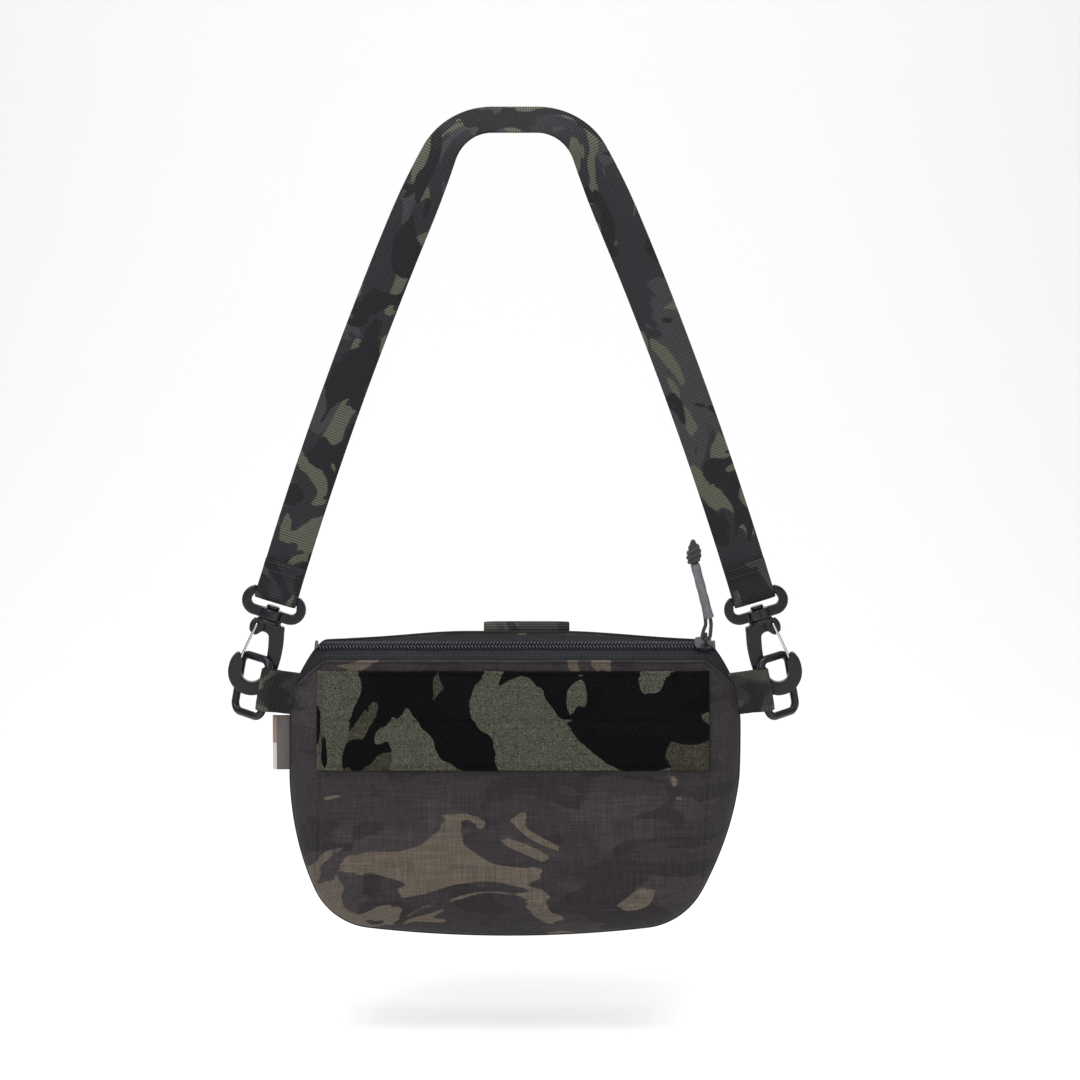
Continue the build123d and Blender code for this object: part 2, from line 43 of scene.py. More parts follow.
# ---- camera and studio
# A long lens a little above the bag's middle, a pale sweep that runs from the floor up behind
# the bag, and three large soft lamps.

view_middle = Vector((14.75 * mm, 0, -245.2 * mm))
view_rise = np.radians(5.0)
view_distance = 1.503
camera_data = bpy.data.cameras.new("camera")
camera_data.lens = 85
camera_data.sensor_width = 36
camera = bpy.data.objects.new("camera", camera_data)
camera.location = view_middle + view_distance * Vector((0, -np.cos(view_rise), np.sin(view_rise)))
camera.rotation_euler = (view_middle - camera.location).to_track_quat("-Z", "Y").to_euler()
bpy.context.scene.collection.objects.link(camera)
bpy.context.scene.camera = camera
bpy.context.scene.view_settings.view_transform = "Standard"


def linear(colour, shade=1.0, lift=0.0):
    """A display colour of 0 to 255, times shade plus lift, as linear light: a share c of 255
    becomes ((c + 0.055) / 1.055) to the power 2.4.
    """
    share = (np.array(colour) * shade + lift) / 255
    light = np.where(share < 0.04045, share / 12.92, ((share + 0.055) / 1.055) ** 2.4)
    return (*light.tolist(), 1.0)


def put(tree, kind, settings=None, **inputs):
    """Add a shader node of a kind, set its own settings, and link or set each named input: _2 is
    the input at place 2, and other names have spaces for underlines.
    """
    node = tree.nodes.new("ShaderNode" + kind)
    for name, value in (settings or {}).items():
        setattr(node, name, value)
    for name, value in inputs.items():
        key = int(name[1:]) if name[0] == "_" else name.replace("_", " ")
        if isinstance(value, bpy.types.NodeSocket):
            tree.links.new(value, node.inputs[key])
        else:
            node.inputs[key].default_value = value
    return node


def new_material(name, roughness):
    """A material with one Principled shader; returns it, its tree and the shader."""
    material = bpy.data.materials.new(name)
    material.use_nodes = True
    tree = material.node_tree
    tree.nodes.clear()
    shader = put(tree, "BsdfPrincipled", Roughness=roughness)
    put(tree, "OutputMaterial", Surface=shader.outputs[0])
    return material, tree, shader


def surface(name, points, loop_rows=False, loop_columns=False, uv=None, capped=False, sheet=False):
    """A mesh of quads on a grid of points (rows, columns, 3), joined round where a loop is asked.

    Corner (i, j) meets (i+1, j), (i+1, j+1) and (i, j+1), counted round the loop. uv has one more
    row or column than points where that way is a loop. capped closes the first and last row. A
    sheet keeps the facing of its grid, which is rows crossed with columns.
    """
    rows, columns = points.shape[:2]
    i, j = np.meshgrid(
        np.arange(rows - (not loop_rows)), np.arange(columns - (not loop_columns)), indexing="ij"
    )
    steps = ((0, 0), (1, 0), (1, 1), (0, 1))
    quads = np.stack([((i + a) % rows) * columns + (j + b) % columns for a, b in steps], -1)
    faces = quads.reshape(-1, 4).tolist()
    if capped:
        faces += [list(range(columns))[::-1], list(range((rows - 1) * columns, rows * columns))]
    mesh = bpy.data.meshes.new(name)
    mesh.from_pydata(points.reshape(-1, 3).tolist(), [], faces)
    if uv is not None:
        corners = np.stack([uv[i + a, j + b] for a, b in steps], 2).reshape(-1, 2)
        flat = np.zeros((len(mesh.loops), 2))
        flat[: len(corners)] = corners
        mesh.uv_layers.new(name="UVMap").data.foreach_set("uv", flat.ravel())
    mesh.polygons.foreach_set("use_smooth", [True] * len(mesh.polygons))
    return piece_of(name, mesh, sheet)


def piece_of(name, mesh, sheet=False):
    """Put a mesh in the scene, and turn the faces of a closed one outwards."""
    if not sheet:
        shell = bmesh.new()
        shell.from_mesh(mesh)
        bmesh.ops.recalc_face_normals(shell, faces=shell.faces)
        shell.to_mesh(mesh)
        shell.free()
    piece = bpy.data.objects.new(name, mesh)
    bpy.context.scene.collection.objects.link(piece)
    return piece


across = np.linspace(-3.0, 3.0, 13)
arc = np.linspace(0, np.pi / 2, 17)
sweep_radius = 0.9
floor_height = -0.532
sweep_y = np.concatenate([np.linspace(-3.0, 1.0, 9), 1.0 + sweep_radius * np.sin(arc[1:]), [1.9]])
sweep_z = np.concatenate([np.zeros(9), sweep_radius * (1 - np.cos(arc[1:])), [4.0]]) + floor_height
sweep_x, sweep_y = np.meshgrid(across, sweep_y)
sweep_z = np.repeat(sweep_z[:, None], len(across), 1)
backdrop = surface("backdrop", np.stack([sweep_x, sweep_y, sweep_z], -1))
paper, paper_tree, paper_shader = new_material("paper", 0.9)
paper_grain = put(paper_tree, "TexNoise", Scale=900.0, Detail=2.0)
paper_bump = put(paper_tree, "Bump", Strength=0.05, Height=paper_grain.outputs[0])
paper_shader.inputs["Base Color"].default_value = (0.93, 0.93, 0.93, 1)
paper_tree.links.new(paper_bump.outputs[0], paper_shader.inputs["Normal"])
backdrop.data.materials.append(paper)

for name, place, size, power in (
    ("lamp_key", (-0.9, -1.6, 0.7), 1.0, 16),
    ("lamp_fill", (1.5, -1.3, 0.1), 1.3, 5),
    ("lamp_top", (0.0, -0.1, 1.25), 1.7, 33),
):
    lamp_data = bpy.data.lights.new(name, "AREA")
    lamp_data.energy = power
    lamp_data.size = size
    lamp = bpy.data.objects.new(name, lamp_data)
    lamp.location = place
    lamp.rotation_euler = (view_middle - Vector(place)).to_track_quat("-Z", "Y").to_euler()
    bpy.context.scene.collection.objects.link(lamp)
world = bpy.data.worlds.new("studio")
world.use_nodes = True
world.node_tree.nodes["Background"].inputs[0].default_value = (1, 1, 1, 1)
world.node_tree.nodes["Background"].inputs[1].default_value = 0.4
bpy.context.scene.world = world

# ---- zip pull
# A thin braided cord is doubled through the slider's bail, held by a shrunk rubber sleeve and
# tied off in one knot whose two ends stand out at the top.

cord_width = 2.2 * mm
pull_depth = -5.382
cord_route = (  # out of the knot, down the sleeve, through the bail and back up, in millimetres
    (104.491, pull_depth, -258.367),
    (113.549, pull_depth, -292.174),
    (110.714, pull_depth, -298.950),
    (110.202, pull_depth, -303.446),
    (114.798, pull_depth, -303.254),
    (115.310, pull_depth, -298.758),
    (115.771, pull_depth, -291.579),
    (106.712, pull_depth, -257.772),
)
high_lean = np.radians(15.0)
high_up = np.array([-np.sin(high_lean), 0, np.cos(high_lean)])
high_across = np.array([high_up[2], 0, -high_up[0]])
sleeve_start = np.array([114.789, pull_depth, -292.360]) * mm
cord_end = np.array([105.601, pull_depth, -258.069]) * mm


def calc(tree, operation, *values):
    """One arithmetic step on numbers or sockets."""
    named = {f"_{index}": value for index, value in enumerate(values)}
    return put(tree, "Math", {"operation": operation}, **named).outputs[0]


def mix(tree, share, low, high, blend="MIX"):
    """A colour that goes from low to high, each a colour or a socket, as share goes 0 to 1."""
    kind = {"data_type": "RGBA", "blend_type": blend}
    return put(tree, "Mix", kind, _0=share, _6=low, _7=high).outputs[2]


def noise(tree, place, scale, detail, roughness=0.5):
    """A cloudy value of 0 to 1 over the surface."""
    settings = dict(Vector=place, Scale=scale, Detail=detail, Roughness=roughness)
    return put(tree, "TexNoise", **settings).outputs[0]


def skin(tree, shader, colour, height, strength, depth):
    """Give a shader its colour, and a bump of that depth from a height."""
    bump = put(tree, "Bump", Strength=strength, Distance=depth, Height=height)
    tree.links.new(colour, shader.inputs["Base Color"])
    tree.links.new(bump.outputs[0], shader.inputs["Normal"])


def dress(piece, material, body, slot, *nodes):
    """Give a piece its material and body, and let it stand for the CAD nodes named; slot is not used.
    """
    piece.data.materials.append(material)
    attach(piece, body)
    if nodes:
        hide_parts(*nodes)


# Braided cord: two crossing sets of fine diagonal strands, with painted shade in the gaps between.
cord_braid, braid_tree, braid_shader = new_material("cord_braid", 0.78)
braid_place = put(braid_tree, "TexCoord").outputs["Object"]
strands = []
for strand_lean in (0.7, -0.7):
    leant = put(braid_tree, "Mapping", Vector=braid_place, Rotation=(0, strand_lean, 0))
    strand_wave = put(
        braid_tree, "TexWave", {"bands_direction": "X"}, Vector=leant.outputs[0], Scale=420.0
    )
    strands.append(strand_wave.outputs["Fac"])
strand_height = calc(braid_tree, "MAXIMUM", *strands)
cord_colour = (44, 46, 50)
# Painted shade: the colour falls to 0.45 of the cord's where the strands are low, in the gaps.
braid_painted_shade_colour = mix(braid_tree, strand_height, linear(cord_colour, 0.45), linear(cord_colour))
skin(braid_tree, braid_shader, braid_painted_shade_colour, strand_height, 0.6, 0.3 * mm)
braid_shader.inputs["Sheen Weight"].default_value = 0.15


def unit(vectors):
    """Vectors along the last axis, each made 1 long."""
    return vectors / np.linalg.norm(vectors, axis=-1, keepdims=True)


def turns(sides):
    """The angles of that many points evenly spaced round a circle."""
    return np.linspace(0, 2 * np.pi, sides, endpoint=False)


def tube(name, line, radius, sides=10):
    """A tube round a line: each ring is radius * (cos a * side + sin a * up), its side kept level
    with the first by taking away the part that lies along the line, as whole arrays.
    """
    ahead = unit(np.gradient(line, axis=0))
    level = np.array([0.31, 0.82, 0.48])  # along no run of any cord, edge or seam here
    side = unit(level - (ahead @ level)[:, None] * ahead)
    up = np.cross(ahead, side)
    angle = turns(sides)[None, :, None]
    ring = np.cos(angle) * side[:, None] + np.sin(angle) * up[:, None]
    size = np.broadcast_to(radius, len(line))[:, None, None]
    return surface(name, line[:, None] + size * ring, loop_columns=True, capped=True)


curve = bpy.data.curves.new("pull_cord", "CURVE")
curve.dimensions = "3D"
curve.bevel_depth = cord_width / 2
curve.bevel_resolution = 4
curve.resolution_u = 24
spline = curve.splines.new("NURBS")
spline.points.add(len(cord_route) - 1)
for point, place in zip(spline.points, cord_route):
    point.co = (*(np.array(place) * mm), 1)
spline.order_u = 3
spline.use_endpoint_u = True
pull_cord = bpy.data.objects.new("pull_cord_braid", curve)
bpy.context.scene.collection.objects.link(pull_cord)
dress(pull_cord, cord_braid, "pull", "pull_cord", "pull_cord")

# The knot is 3.6 turns of a helix that swells and closes again as it rises, round a core.
rising = np.linspace(0, 1, 150)
wound = 2 * np.pi * 3.6 * rising
knot_swell = 1.3 + 2.15 * np.sin(np.pi * np.clip(rising * 0.82 + 0.14, 0, 1)) ** 0.8
knot_turns = np.stack(
    [
        knot_swell * np.cos(wound) + 1.7 * rising,
        knot_swell * np.sin(wound) * 0.85,
        0.4 + 9.4 * rising + 0.9 * np.sin(wound + 0.7),
    ],
    -1,
)
knot_axes = np.array([high_across, (0, 1, 0), high_up])
pull_knot = tube("pull_knot_tied", cord_end + (knot_turns * mm) @ knot_axes, 1.35 * mm, 12)
dress(pull_knot, cord_braid, "pull", "pull_cord", "pull_knot")
rising = np.linspace(0, 1, 26)
core_ends = np.concatenate([[0.5], np.ones(24), [0.5]])
core_swell = (0.8 + 1.9 * np.sin(np.pi * rising) ** 0.7) * core_ends
core_line = np.stack([0.2 + 2.4 * rising**1.5, 0.2 * rising, -0.5 + 14.0 * rising], -1)
knot_core = tube("pull_knot_core", cord_end + (core_line * mm) @ knot_axes, core_swell * mm, 12)
dress(knot_core, cord_braid, "pull", "pull_cord")


def sleeve_profile(along):
    """The sleeve's outer radius in mm: 2.78, with waves of 0.1 and a rolled lip of 0.32."""
    return 2.78 + 0.1 * np.sin(along * 23) + 0.32 * np.exp(-((along - 0.02) / 0.02) ** 2)


along = np.linspace(0, 1, 60)
sleeve_ends = np.concatenate([[0.86], np.ones(58), [0.82]])
sleeve_line = sleeve_start + high_up * (1.5 * mm + along * 33.5 * mm)[:, None]
sleeve_radius = sleeve_profile(along) * sleeve_ends * mm
pull_sleeve = tube("pull_sleeve_rubber", sleeve_line, sleeve_radius, 20)
rubber, rubber_tree, rubber_shader = new_material("shrunk_rubber", 0.5)
rubber_place = put(rubber_tree, "TexCoord").outputs["Object"]
rubber_cloud = noise(rubber_tree, rubber_place, 260.0, 6.0)
rubber_colour = mix(rubber_tree, rubber_cloud, linear((62, 63, 68)), linear((112, 113, 118)))
skin(rubber_tree, rubber_shader, rubber_colour, rubber_cloud, 0.25, 0.4 * mm)
dress(pull_sleeve, rubber, "pull", "pull_sleeve", "pull_sleeve")

# ---- webbing and its print
# Ribbed nylon webbing, printed with soft-edged dark camouflage shapes. The same cloth makes the
# shoulder strap, the side tabs and the belt loop, each cut to its own length.


def new_group(name, inputs, outputs):
    """An empty shader node group with a Vector and other named inputs, and named outputs, all
    single values; returns it and its end nodes.
    """
    group = bpy.data.node_groups.new(name, "ShaderNodeTree")
    group.interface.new_socket("Vector", in_out="INPUT", socket_type="NodeSocketVector")
    for way, labels in (("INPUT", inputs), ("OUTPUT", outputs)):
        for label in labels:
            group.interface.new_socket(label, in_out=way, socket_type="NodeSocketFloat")
    return group, group.nodes.new("NodeGroupInput"), group.nodes.new("NodeGroupOutput")


def spread(tree, value, low, high, to_low=0.0, to_high=1.0, kind="LINEAR"):
    """A value's range from low to high laid onto another range, and held at its ends."""
    ranges = dict(From_Min=low, From_Max=high, To_Min=to_low, To_Max=to_high)
    kind = {"interpolation_type": kind}
    return put(tree, "MapRange", kind, Value=value, **ranges).outputs[0]


camouflage, shapes_in, shapes_out = new_group(
    "camouflage", ("Size", "Cover", "Softness"), ("Light", "Middle", "Dark")
)
for index, (shift, scale, rarer, width, ragged) in enumerate(
    ((0.0, 1.0, 0.06, 0.008, 1.15), (7.3, 0.8, 0.0, 0.03, 1.0), (3.1, 1.25, 0.02, 0.02, 1.3))
):
    where, size, cover, softness = shapes_in.outputs[:4]
    step = (shift, shift * 0.7, -shift)
    moved = put(camouflage, "VectorMath", {"operation": "ADD"}, _0=where, _1=step)
    size = calc(camouflage, "MULTIPLY", size, scale)
    blobs = put(
        camouflage, "TexNoise",
        Vector=moved.outputs[0], Scale=size, Detail=2.8, Roughness=0.42, Distortion=ragged,
    )
    low = calc(camouflage, "ADD", cover, rarer)
    high = calc(camouflage, "MULTIPLY_ADD", softness, width, low)
    edge = spread(camouflage, blobs.outputs[0], low, high, kind="SMOOTHSTEP")
    camouflage.links.new(edge, shapes_out.inputs[index])

# Cross ribs along the webbing, broken up by the yarns that run its length and by loose fibres.
# Its Shade is that height laid onto 0 to 1, for painted light on the rib tops and painted shade in the
# grooves.
ribs, ribs_in, ribs_out = new_group("webbing_ribs", (), ("Height", "Shade"))
ribs_split = put(ribs, "SeparateXYZ", Vector=ribs_in.outputs[0])
rib_pitch, yarn_pitch = 1.45 * mm, 1.05 * mm
rib_wave = calc(ribs, "SINE", calc(ribs, "MULTIPLY", ribs_split.outputs[1], 2 * np.pi / rib_pitch))
yarn_wave = calc(ribs, "SINE", calc(ribs, "MULTIPLY", ribs_split.outputs[0], 2 * np.pi / yarn_pitch))
rib_cross = calc(ribs, "MULTIPLY", rib_wave, yarn_wave)
rib_sum = calc(ribs, "MULTIPLY_ADD", rib_cross, 0.45, rib_wave)
rib_fuzz = noise(ribs, ribs_in.outputs[0], 1900.0, 3.0)
rib_height = calc(ribs, "MULTIPLY_ADD", rib_fuzz, 1.3, rib_sum)
ribs.links.new(rib_height, ribs_out.inputs[0])
ribs.links.new(spread(ribs, rib_height, -0.9, 2.0), ribs_out.inputs[1])


def webbing_material(name, dark, olive, grey, shift):
    """Webbing: dark ground, grey and olive shapes laid over it, and the ribs' painted light and shade
    over all.
    """
    material, tree, shader = new_material(name, 0.82)
    uv = put(tree, "UVMap", {"uv_map": "UVMap"}).outputs[0]
    placed = put(
        tree, "Mapping", Vector=uv, Location=(shift, shift, 0), Scale=(1.0, 0.62, 1)
    )
    masks = put(
        tree, "Group", {"node_tree": camouflage},
        Vector=placed.outputs[0], Size=30.0, Cover=0.53, Softness=0.35,
    )
    weave = put(tree, "Group", {"node_tree": ribs}, Vector=uv)
    colour = mix(tree, masks.outputs["Middle"], linear(dark), linear(grey))
    colour = mix(tree, masks.outputs["Light"], colour, linear(olive))
    colour = mix(tree, masks.outputs["Dark"], colour, linear(dark, 0.72))
    # Painted light and shade: the colour times 0.3 in the rib grooves, up to 1.5 on the rib tops.
    shade = spread(tree, weave.outputs["Shade"], 0, 1, 0.3, 1.5)
    lit = mix(tree, 1.0, colour, shade, "MULTIPLY")
    skin(tree, shader, lit, weave.outputs["Height"], 0.8, 0.3 * mm)
    shader.inputs["Specular IOR Level"].default_value = 0.22
    return material


strap_cloth = webbing_material("strap_webbing", (42, 43, 46), (84, 85, 73), (58, 59, 61), 0.31)
olive_cloth = webbing_material("side_webbing", (48, 51, 48), (80, 82, 71), (64, 66, 60), 1.7)


def run_along(line):
    """The distance along a line of points at each of them."""
    return np.concatenate([[0], np.cumsum(np.linalg.norm(np.diff(line, axis=0), axis=1))])


def band(name, line, side, width, thickness):
    """A flat band: at each point of a line, a flat oval of the given width along side and
    thickness across it, x to the power 8 plus z to the power 2 equals 1 scaled to both.

    Its UV is in metres: round the oval from one edge, and along the line.
    """
    ahead = unit(np.gradient(line, axis=0))
    side = unit(side - (side * ahead).sum(1, keepdims=True) * ahead)
    up = np.cross(ahead, side)
    angle = turns(28)
    reach = np.sign(np.cos(angle)) * np.abs(np.cos(angle)) ** 0.55 * width / 2
    rise = np.sign(np.sin(angle)) * np.abs(np.sin(angle)) ** 0.4 * thickness / 2
    points = line[:, None] + reach[:, None] * side[:, None] + rise[:, None] * up[:, None]
    front, back = width / 2 - reach, width * 1.1 + reach + width / 2
    round_it = np.append(np.where(np.sin(angle) >= 0, front, back), 2.1 * width)
    uv = np.stack(np.broadcast_arrays(round_it[None, :], run_along(line)[:, None]), -1)
    return surface(name, points, loop_columns=True, uv=uv, capped=True)


# ---- shoulder strap
# One length of webbing. Each end is passed round an eye's bar, folded to the front and sewn
# with cross rows; the middle twists over to hang flat from whatever carries it.

strap_width, strap_thickness = 25 * mm, 1.6 * mm
bar_x, bar_z = 140.7 * mm, -278.3 * mm
bar_lean, crown_lean = np.radians(17.0), np.radians(24.0)
crown_radius = 34 * mm
crown_twist = np.radians(50.0)
twist_fade = 55 * mm
fold_length = 20 * mm
wrap_radius = 3.55 * mm
leg_rise = -bar_z - crown_radius * (1 - np.sin(crown_lean))
leg_radius = leg_rise / (np.sin(crown_lean) - np.sin(bar_lean))
leg_reach = leg_radius * (np.cos(bar_lean) - np.cos(crown_lean))
crown_level = bar_x - leg_reach - crown_radius * np.cos(crown_lean)
crown_arc = crown_radius * (np.pi / 2 - crown_lean)
bar_run = crown_level + crown_arc + leg_radius * (crown_lean - bar_lean)


def strap_run(distance):
    """Place, lean and twist at a distance from the crown: level, then round the crown radius to
    the crown lean, then bowing evenly to the lean at the bar. Positive runs go right.
    """
    away = np.abs(distance)
    in_leg = np.clip(away - crown_level - crown_arc, 0, None)
    past = np.clip(away - crown_level, 0, crown_arc) / crown_radius
    lean = crown_lean - in_leg / leg_radius
    x = np.minimum(away, crown_level) + crown_radius * np.sin(past)
    x += leg_radius * (np.cos(lean) - np.cos(crown_lean))
    z = -crown_radius * (1 - np.cos(past)) - leg_radius * (np.sin(crown_lean) - np.sin(lean))
    fade = np.clip((away - crown_level) / (crown_arc + twist_fade), 0, 1)
    twist = crown_twist * (1 - fade * fade * (3 - 2 * fade))
    heading = np.where(in_leg > 0, lean, np.pi / 2 - past)
    return np.sign(distance) * x, z, heading, twist


def settle(share):
    """A smooth step from 0 to 1."""
    share = np.clip(share, 0, 1)
    return share * share * (3 - 2 * share)


distance = np.linspace(-bar_run, bar_run, 420)
x, z, heading, twist = strap_run(distance)
from_bar = bar_run - np.abs(distance)
layer_gap = 0.86 * mm  # from the middle of two layers that lie together to each layer's own
back = layer_gap + (wrap_radius - layer_gap) * (1 - settle(from_bar / (12 * mm)))
back = back * (1 - settle((from_bar - fold_length) / (25 * mm)))
ripple = 0.5 * mm * np.sin(distance * 31 + 0.8) * settle((from_bar - 40 * mm) / (60 * mm))
middle_line = np.stack([x, back + ripple, z], -1)
depth_axis = np.array([0, 1, 0])
crown_out = np.stack([np.sign(distance) * np.cos(heading), np.zeros_like(x), np.sin(heading)], -1)
sideways = np.cos(twist)[:, None] * crown_out + np.sin(twist)[:, None] * depth_axis


def end_wrap(sign):
    """The folded end at one bar, from the middle line's end round under the bar and up the
    front: a half circle of the wrap radius, then a straight run that settles to one layer.
    """
    down = np.array([sign * np.sin(bar_lean), 0, -np.cos(bar_lean)])
    bar = np.array([sign * bar_x, 0, bar_z])
    angle = np.linspace(0, np.pi, 19)[1:]
    under = bar + wrap_radius * (np.cos(angle)[:, None] * depth_axis + np.sin(angle)[:, None] * down)
    up = np.linspace(0, fold_length, 24)[1:, None]
    front = layer_gap + (wrap_radius - layer_gap) * (1 - settle(up / (12 * mm)))
    return np.concatenate([under, bar - up * down - front * depth_axis])


left_wrap, right_wrap = end_wrap(-1), end_wrap(1)
strap_line = np.concatenate([left_wrap[::-1], middle_line, right_wrap])
strap_side = np.concatenate(
    [sideways[:1].repeat(len(left_wrap), 0), sideways, sideways[-1:].repeat(len(right_wrap), 0)]
)
strap = band("shoulder_strap", strap_line, strap_side, strap_width, strap_thickness)
dress(strap, strap_cloth, "strap", "strap_webbing", "strap")


def thread_material(name, colour):
    """Sewing thread: a fine twist of two shades."""
    material, tree, shader = new_material(name, 0.7)
    place = put(tree, "TexCoord").outputs["Object"]
    twist = noise(tree, place, 2600.0, 2.0)
    shade = mix(tree, twist, linear(colour, 0.6), linear(colour, 1.3))
    tree.links.new(shade, shader.inputs["Base Color"])
    return material


dark_thread = thread_material("dark_thread", (44, 44, 46))


def tubes(name, rings):
    """Many small capped tubes in one mesh, from an array (tubes, rings, sides, 3)."""
    count, ring_count, sides = rings.shape[:3]
    i, j = np.meshgrid(np.arange(ring_count - 1), np.arange(sides), indexing="ij")
    near = i * sides + j
    turned = i * sides + (j + 1) % sides
    quads = np.stack([near, turned, turned + sides, near + sides], -1).reshape(-1, 4)
    starts = np.arange(count) * ring_count * sides
    faces = (starts[:, None, None] + quads).reshape(-1, 4).tolist()
    ends = np.concatenate([np.arange(sides)[::-1], (ring_count - 1) * sides + np.arange(sides)])
    faces += (starts[:, None, None] + ends.reshape(1, 2, sides)).reshape(-1, sides).tolist()
    mesh = bpy.data.meshes.new(name)
    mesh.from_pydata(rings.reshape(-1, 3).tolist(), [], faces)
    mesh.polygons.foreach_set("use_smooth", [True] * len(mesh.polygons))
    return piece_of(name, mesh)


def stitch_rings(line, normal, pitch, thread=0.32 * mm):
    """Stitches along a line on cloth that faces normal: each is a short tube 0.7 of the pitch
    long, its middle raised off the cloth by a sine bow and its ends drawn in under it.
    """
    run = run_along(line)
    count = max(int(run[-1] / pitch), 1)
    begin = (np.arange(count) + 0.15) * run[-1] / count
    share = np.linspace(0, 1, 5)
    at = begin[:, None] + share * 0.7 * run[-1] / count
    centre = np.stack([np.interp(at, run, line[:, k]) for k in range(3)], -1)
    up = np.broadcast_to(unit(np.array(normal, float)), centre.shape)
    side = np.cross(unit(np.gradient(centre, axis=1)), up)
    bow = np.sin(np.pi * share)[None, :, None]
    centre = centre + up * thread * (0.75 * bow - 0.45)
    angle = turns(6)[None, None, :, None]
    around = np.cos(angle) * side[:, :, None] + np.sin(angle) * up[:, :, None]
    return centre[:, :, None] + thread * (0.55 + 0.45 * bow[..., None]) * around


rows = []
row_rises = (13.6 * mm, 18.4 * mm)
row_across = np.linspace(-10.6, 10.6, 12)[:, None] * mm
for sign in (-1, 1):
    down = np.array([sign * np.sin(bar_lean), 0, -np.cos(bar_lean)])
    level = np.array([np.cos(bar_lean), 0, sign * np.sin(bar_lean)])
    bar = np.array([sign * bar_x, 0, bar_z])
    for face in (-1, 1):
        for rise in row_rises:
            line = bar - down * rise + level * row_across + face * depth_axis * 1.75 * mm
            rows.append(stitch_rings(line, face * depth_axis, 2.4 * mm))
strap_stitching = tubes("strap_stitches", np.concatenate(rows))
dress(strap_stitching, dark_thread, "strap", "thread", "strap_stitching")

# ---- eyes and snap hooks
# Injection moulded acetal: a wide eye carries the strap's bar and a swivel barrel, and the hook's
# stud turns in it. The edges are well rounded and the surface is a fine satin texture.

moulding, moulding_in, moulding_out = new_group(
    "moulded_surface", ("Grain",), ("Height", "Wear", "Cloud")
)
moulding_place = moulding_in.outputs[0]
grain = noise(moulding, moulding_place, moulding_in.outputs["Grain"], 3.0)
scuffs = spread(moulding, noise(moulding, moulding_place, 420.0, 6.0, 0.7), 0.6, 0.78)
clouds = noise(moulding, moulding_place, 90.0, 4.0)
for index, value in enumerate((grain, scuffs, clouds)):
    moulding.links.new(value, moulding_out.inputs[index])


def moulded_material(name, colour, roughness, metallic=0.0, grain_scale=2400.0, grain_height=0.12):
    """A moulded or cast surface: fine grain, faint clouding of the colour, and lighter scuffs."""
    material, tree, shader = new_material(name, roughness)
    place = put(tree, "TexCoord").outputs["Object"]
    face = put(tree, "Group", {"node_tree": moulding}, Vector=place, Grain=grain_scale)
    cloud = face.outputs["Cloud"]
    shade = mix(tree, cloud, linear(colour, 0.88), linear(colour, 1.12))
    worn = mix(tree, face.outputs["Wear"], shade, linear(colour, 1.3, 6))
    gloss = spread(tree, cloud, 0, 1, roughness - 0.08, roughness + 0.1)
    skin(tree, shader, worn, face.outputs["Height"], grain_height, 0.2 * mm)
    tree.links.new(gloss, shader.inputs["Roughness"])
    shader.inputs["Metallic"].default_value = metallic
    shader.inputs["Specular IOR Level"].default_value = 0.34
    return material


black_acetal = moulded_material("black_acetal", (19, 21, 25), 0.27)


def finished(node, body, slot, material, voxel=0.0, passes=0):
    """A merged copy of a CAD node. With a voxel size it is remeshed and its edges are melted
    round, by drawing each point towards its neighbours so many times.
    """
    shell = bmesh.new()
    shell.from_mesh(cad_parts[node].data)
    bmesh.ops.remove_doubles(shell, verts=shell.verts, dist=0.01 * mm)
    mesh = bpy.data.meshes.new(node + "_finished")
    shell.to_mesh(mesh)
    shell.free()
    piece = bpy.data.objects.new(node + "_finished", mesh)
    bpy.context.scene.collection.objects.link(piece)
    if voxel:
        remesh = piece.modifiers.new("even_skin", "REMESH")
        remesh.mode = "VOXEL"
        remesh.voxel_size = voxel
        melt = piece.modifiers.new("melt", "SMOOTH")
        melt.factor = 0.5
        melt.iterations = passes
        bpy.context.view_layer.update()
        drawn = piece.evaluated_get(bpy.context.evaluated_depsgraph_get())
        piece.data = bpy.data.meshes.new_from_object(drawn)
        piece.modifiers.clear()
    piece.data.polygons.foreach_set("use_smooth", [True] * len(piece.data.polygons))
    if not voxel:
        piece.data.set_sharp_from_angle(angle=np.radians(38))
    piece.data.materials.clear()
    dress(piece, material, body, slot, node)


bright_wire = moulded_material("bright_wire", (196, 197, 200), 0.24, 1.0, 1800.0, 0.05)
hook_voxel = 0.42 * mm
for side in ("left", "right"):
    finished(f"eye_{side}", f"eye_{side}", "hook_plastic", black_acetal, hook_voxel, 9)
    finished(f"hook_{side}", f"hook_{side}", "hook_plastic", black_acetal, hook_voxel, 10)
    finished(f"gate_{side}", f"gate_{side}", "gate_wire", bright_wire)
    finished(f"ring_{side}", f"ring_{side}", "hook_plastic", black_acetal)

# ---- bag body
# Two panels of light polyester canvas sewn together round a seam that is piped inside. The front
# turns back at a dart on each side, and the pouch is lightly filled, so its faces are full in
# the middle and thin out to the seam.

seam_y = -4.0
corner_x, corner_z = 131.0, -334  # where the zip and both panels come to a point in the seam
shoulder = ((114.5, -298), (121.5, -312.7), (corner_x, corner_z), (132.8, -352), (132.8, -385))
low_arc = ((132.8, -385.0), (127.2, -420.0), (115.5, -452.0))
corner_arc = ((115.5, -452.0), (104.3, -467.0), (86.0, -475.8))
bottom_arc = ((86.0, -475.8), (0.0, -480.9), (-86.0, -475.8))


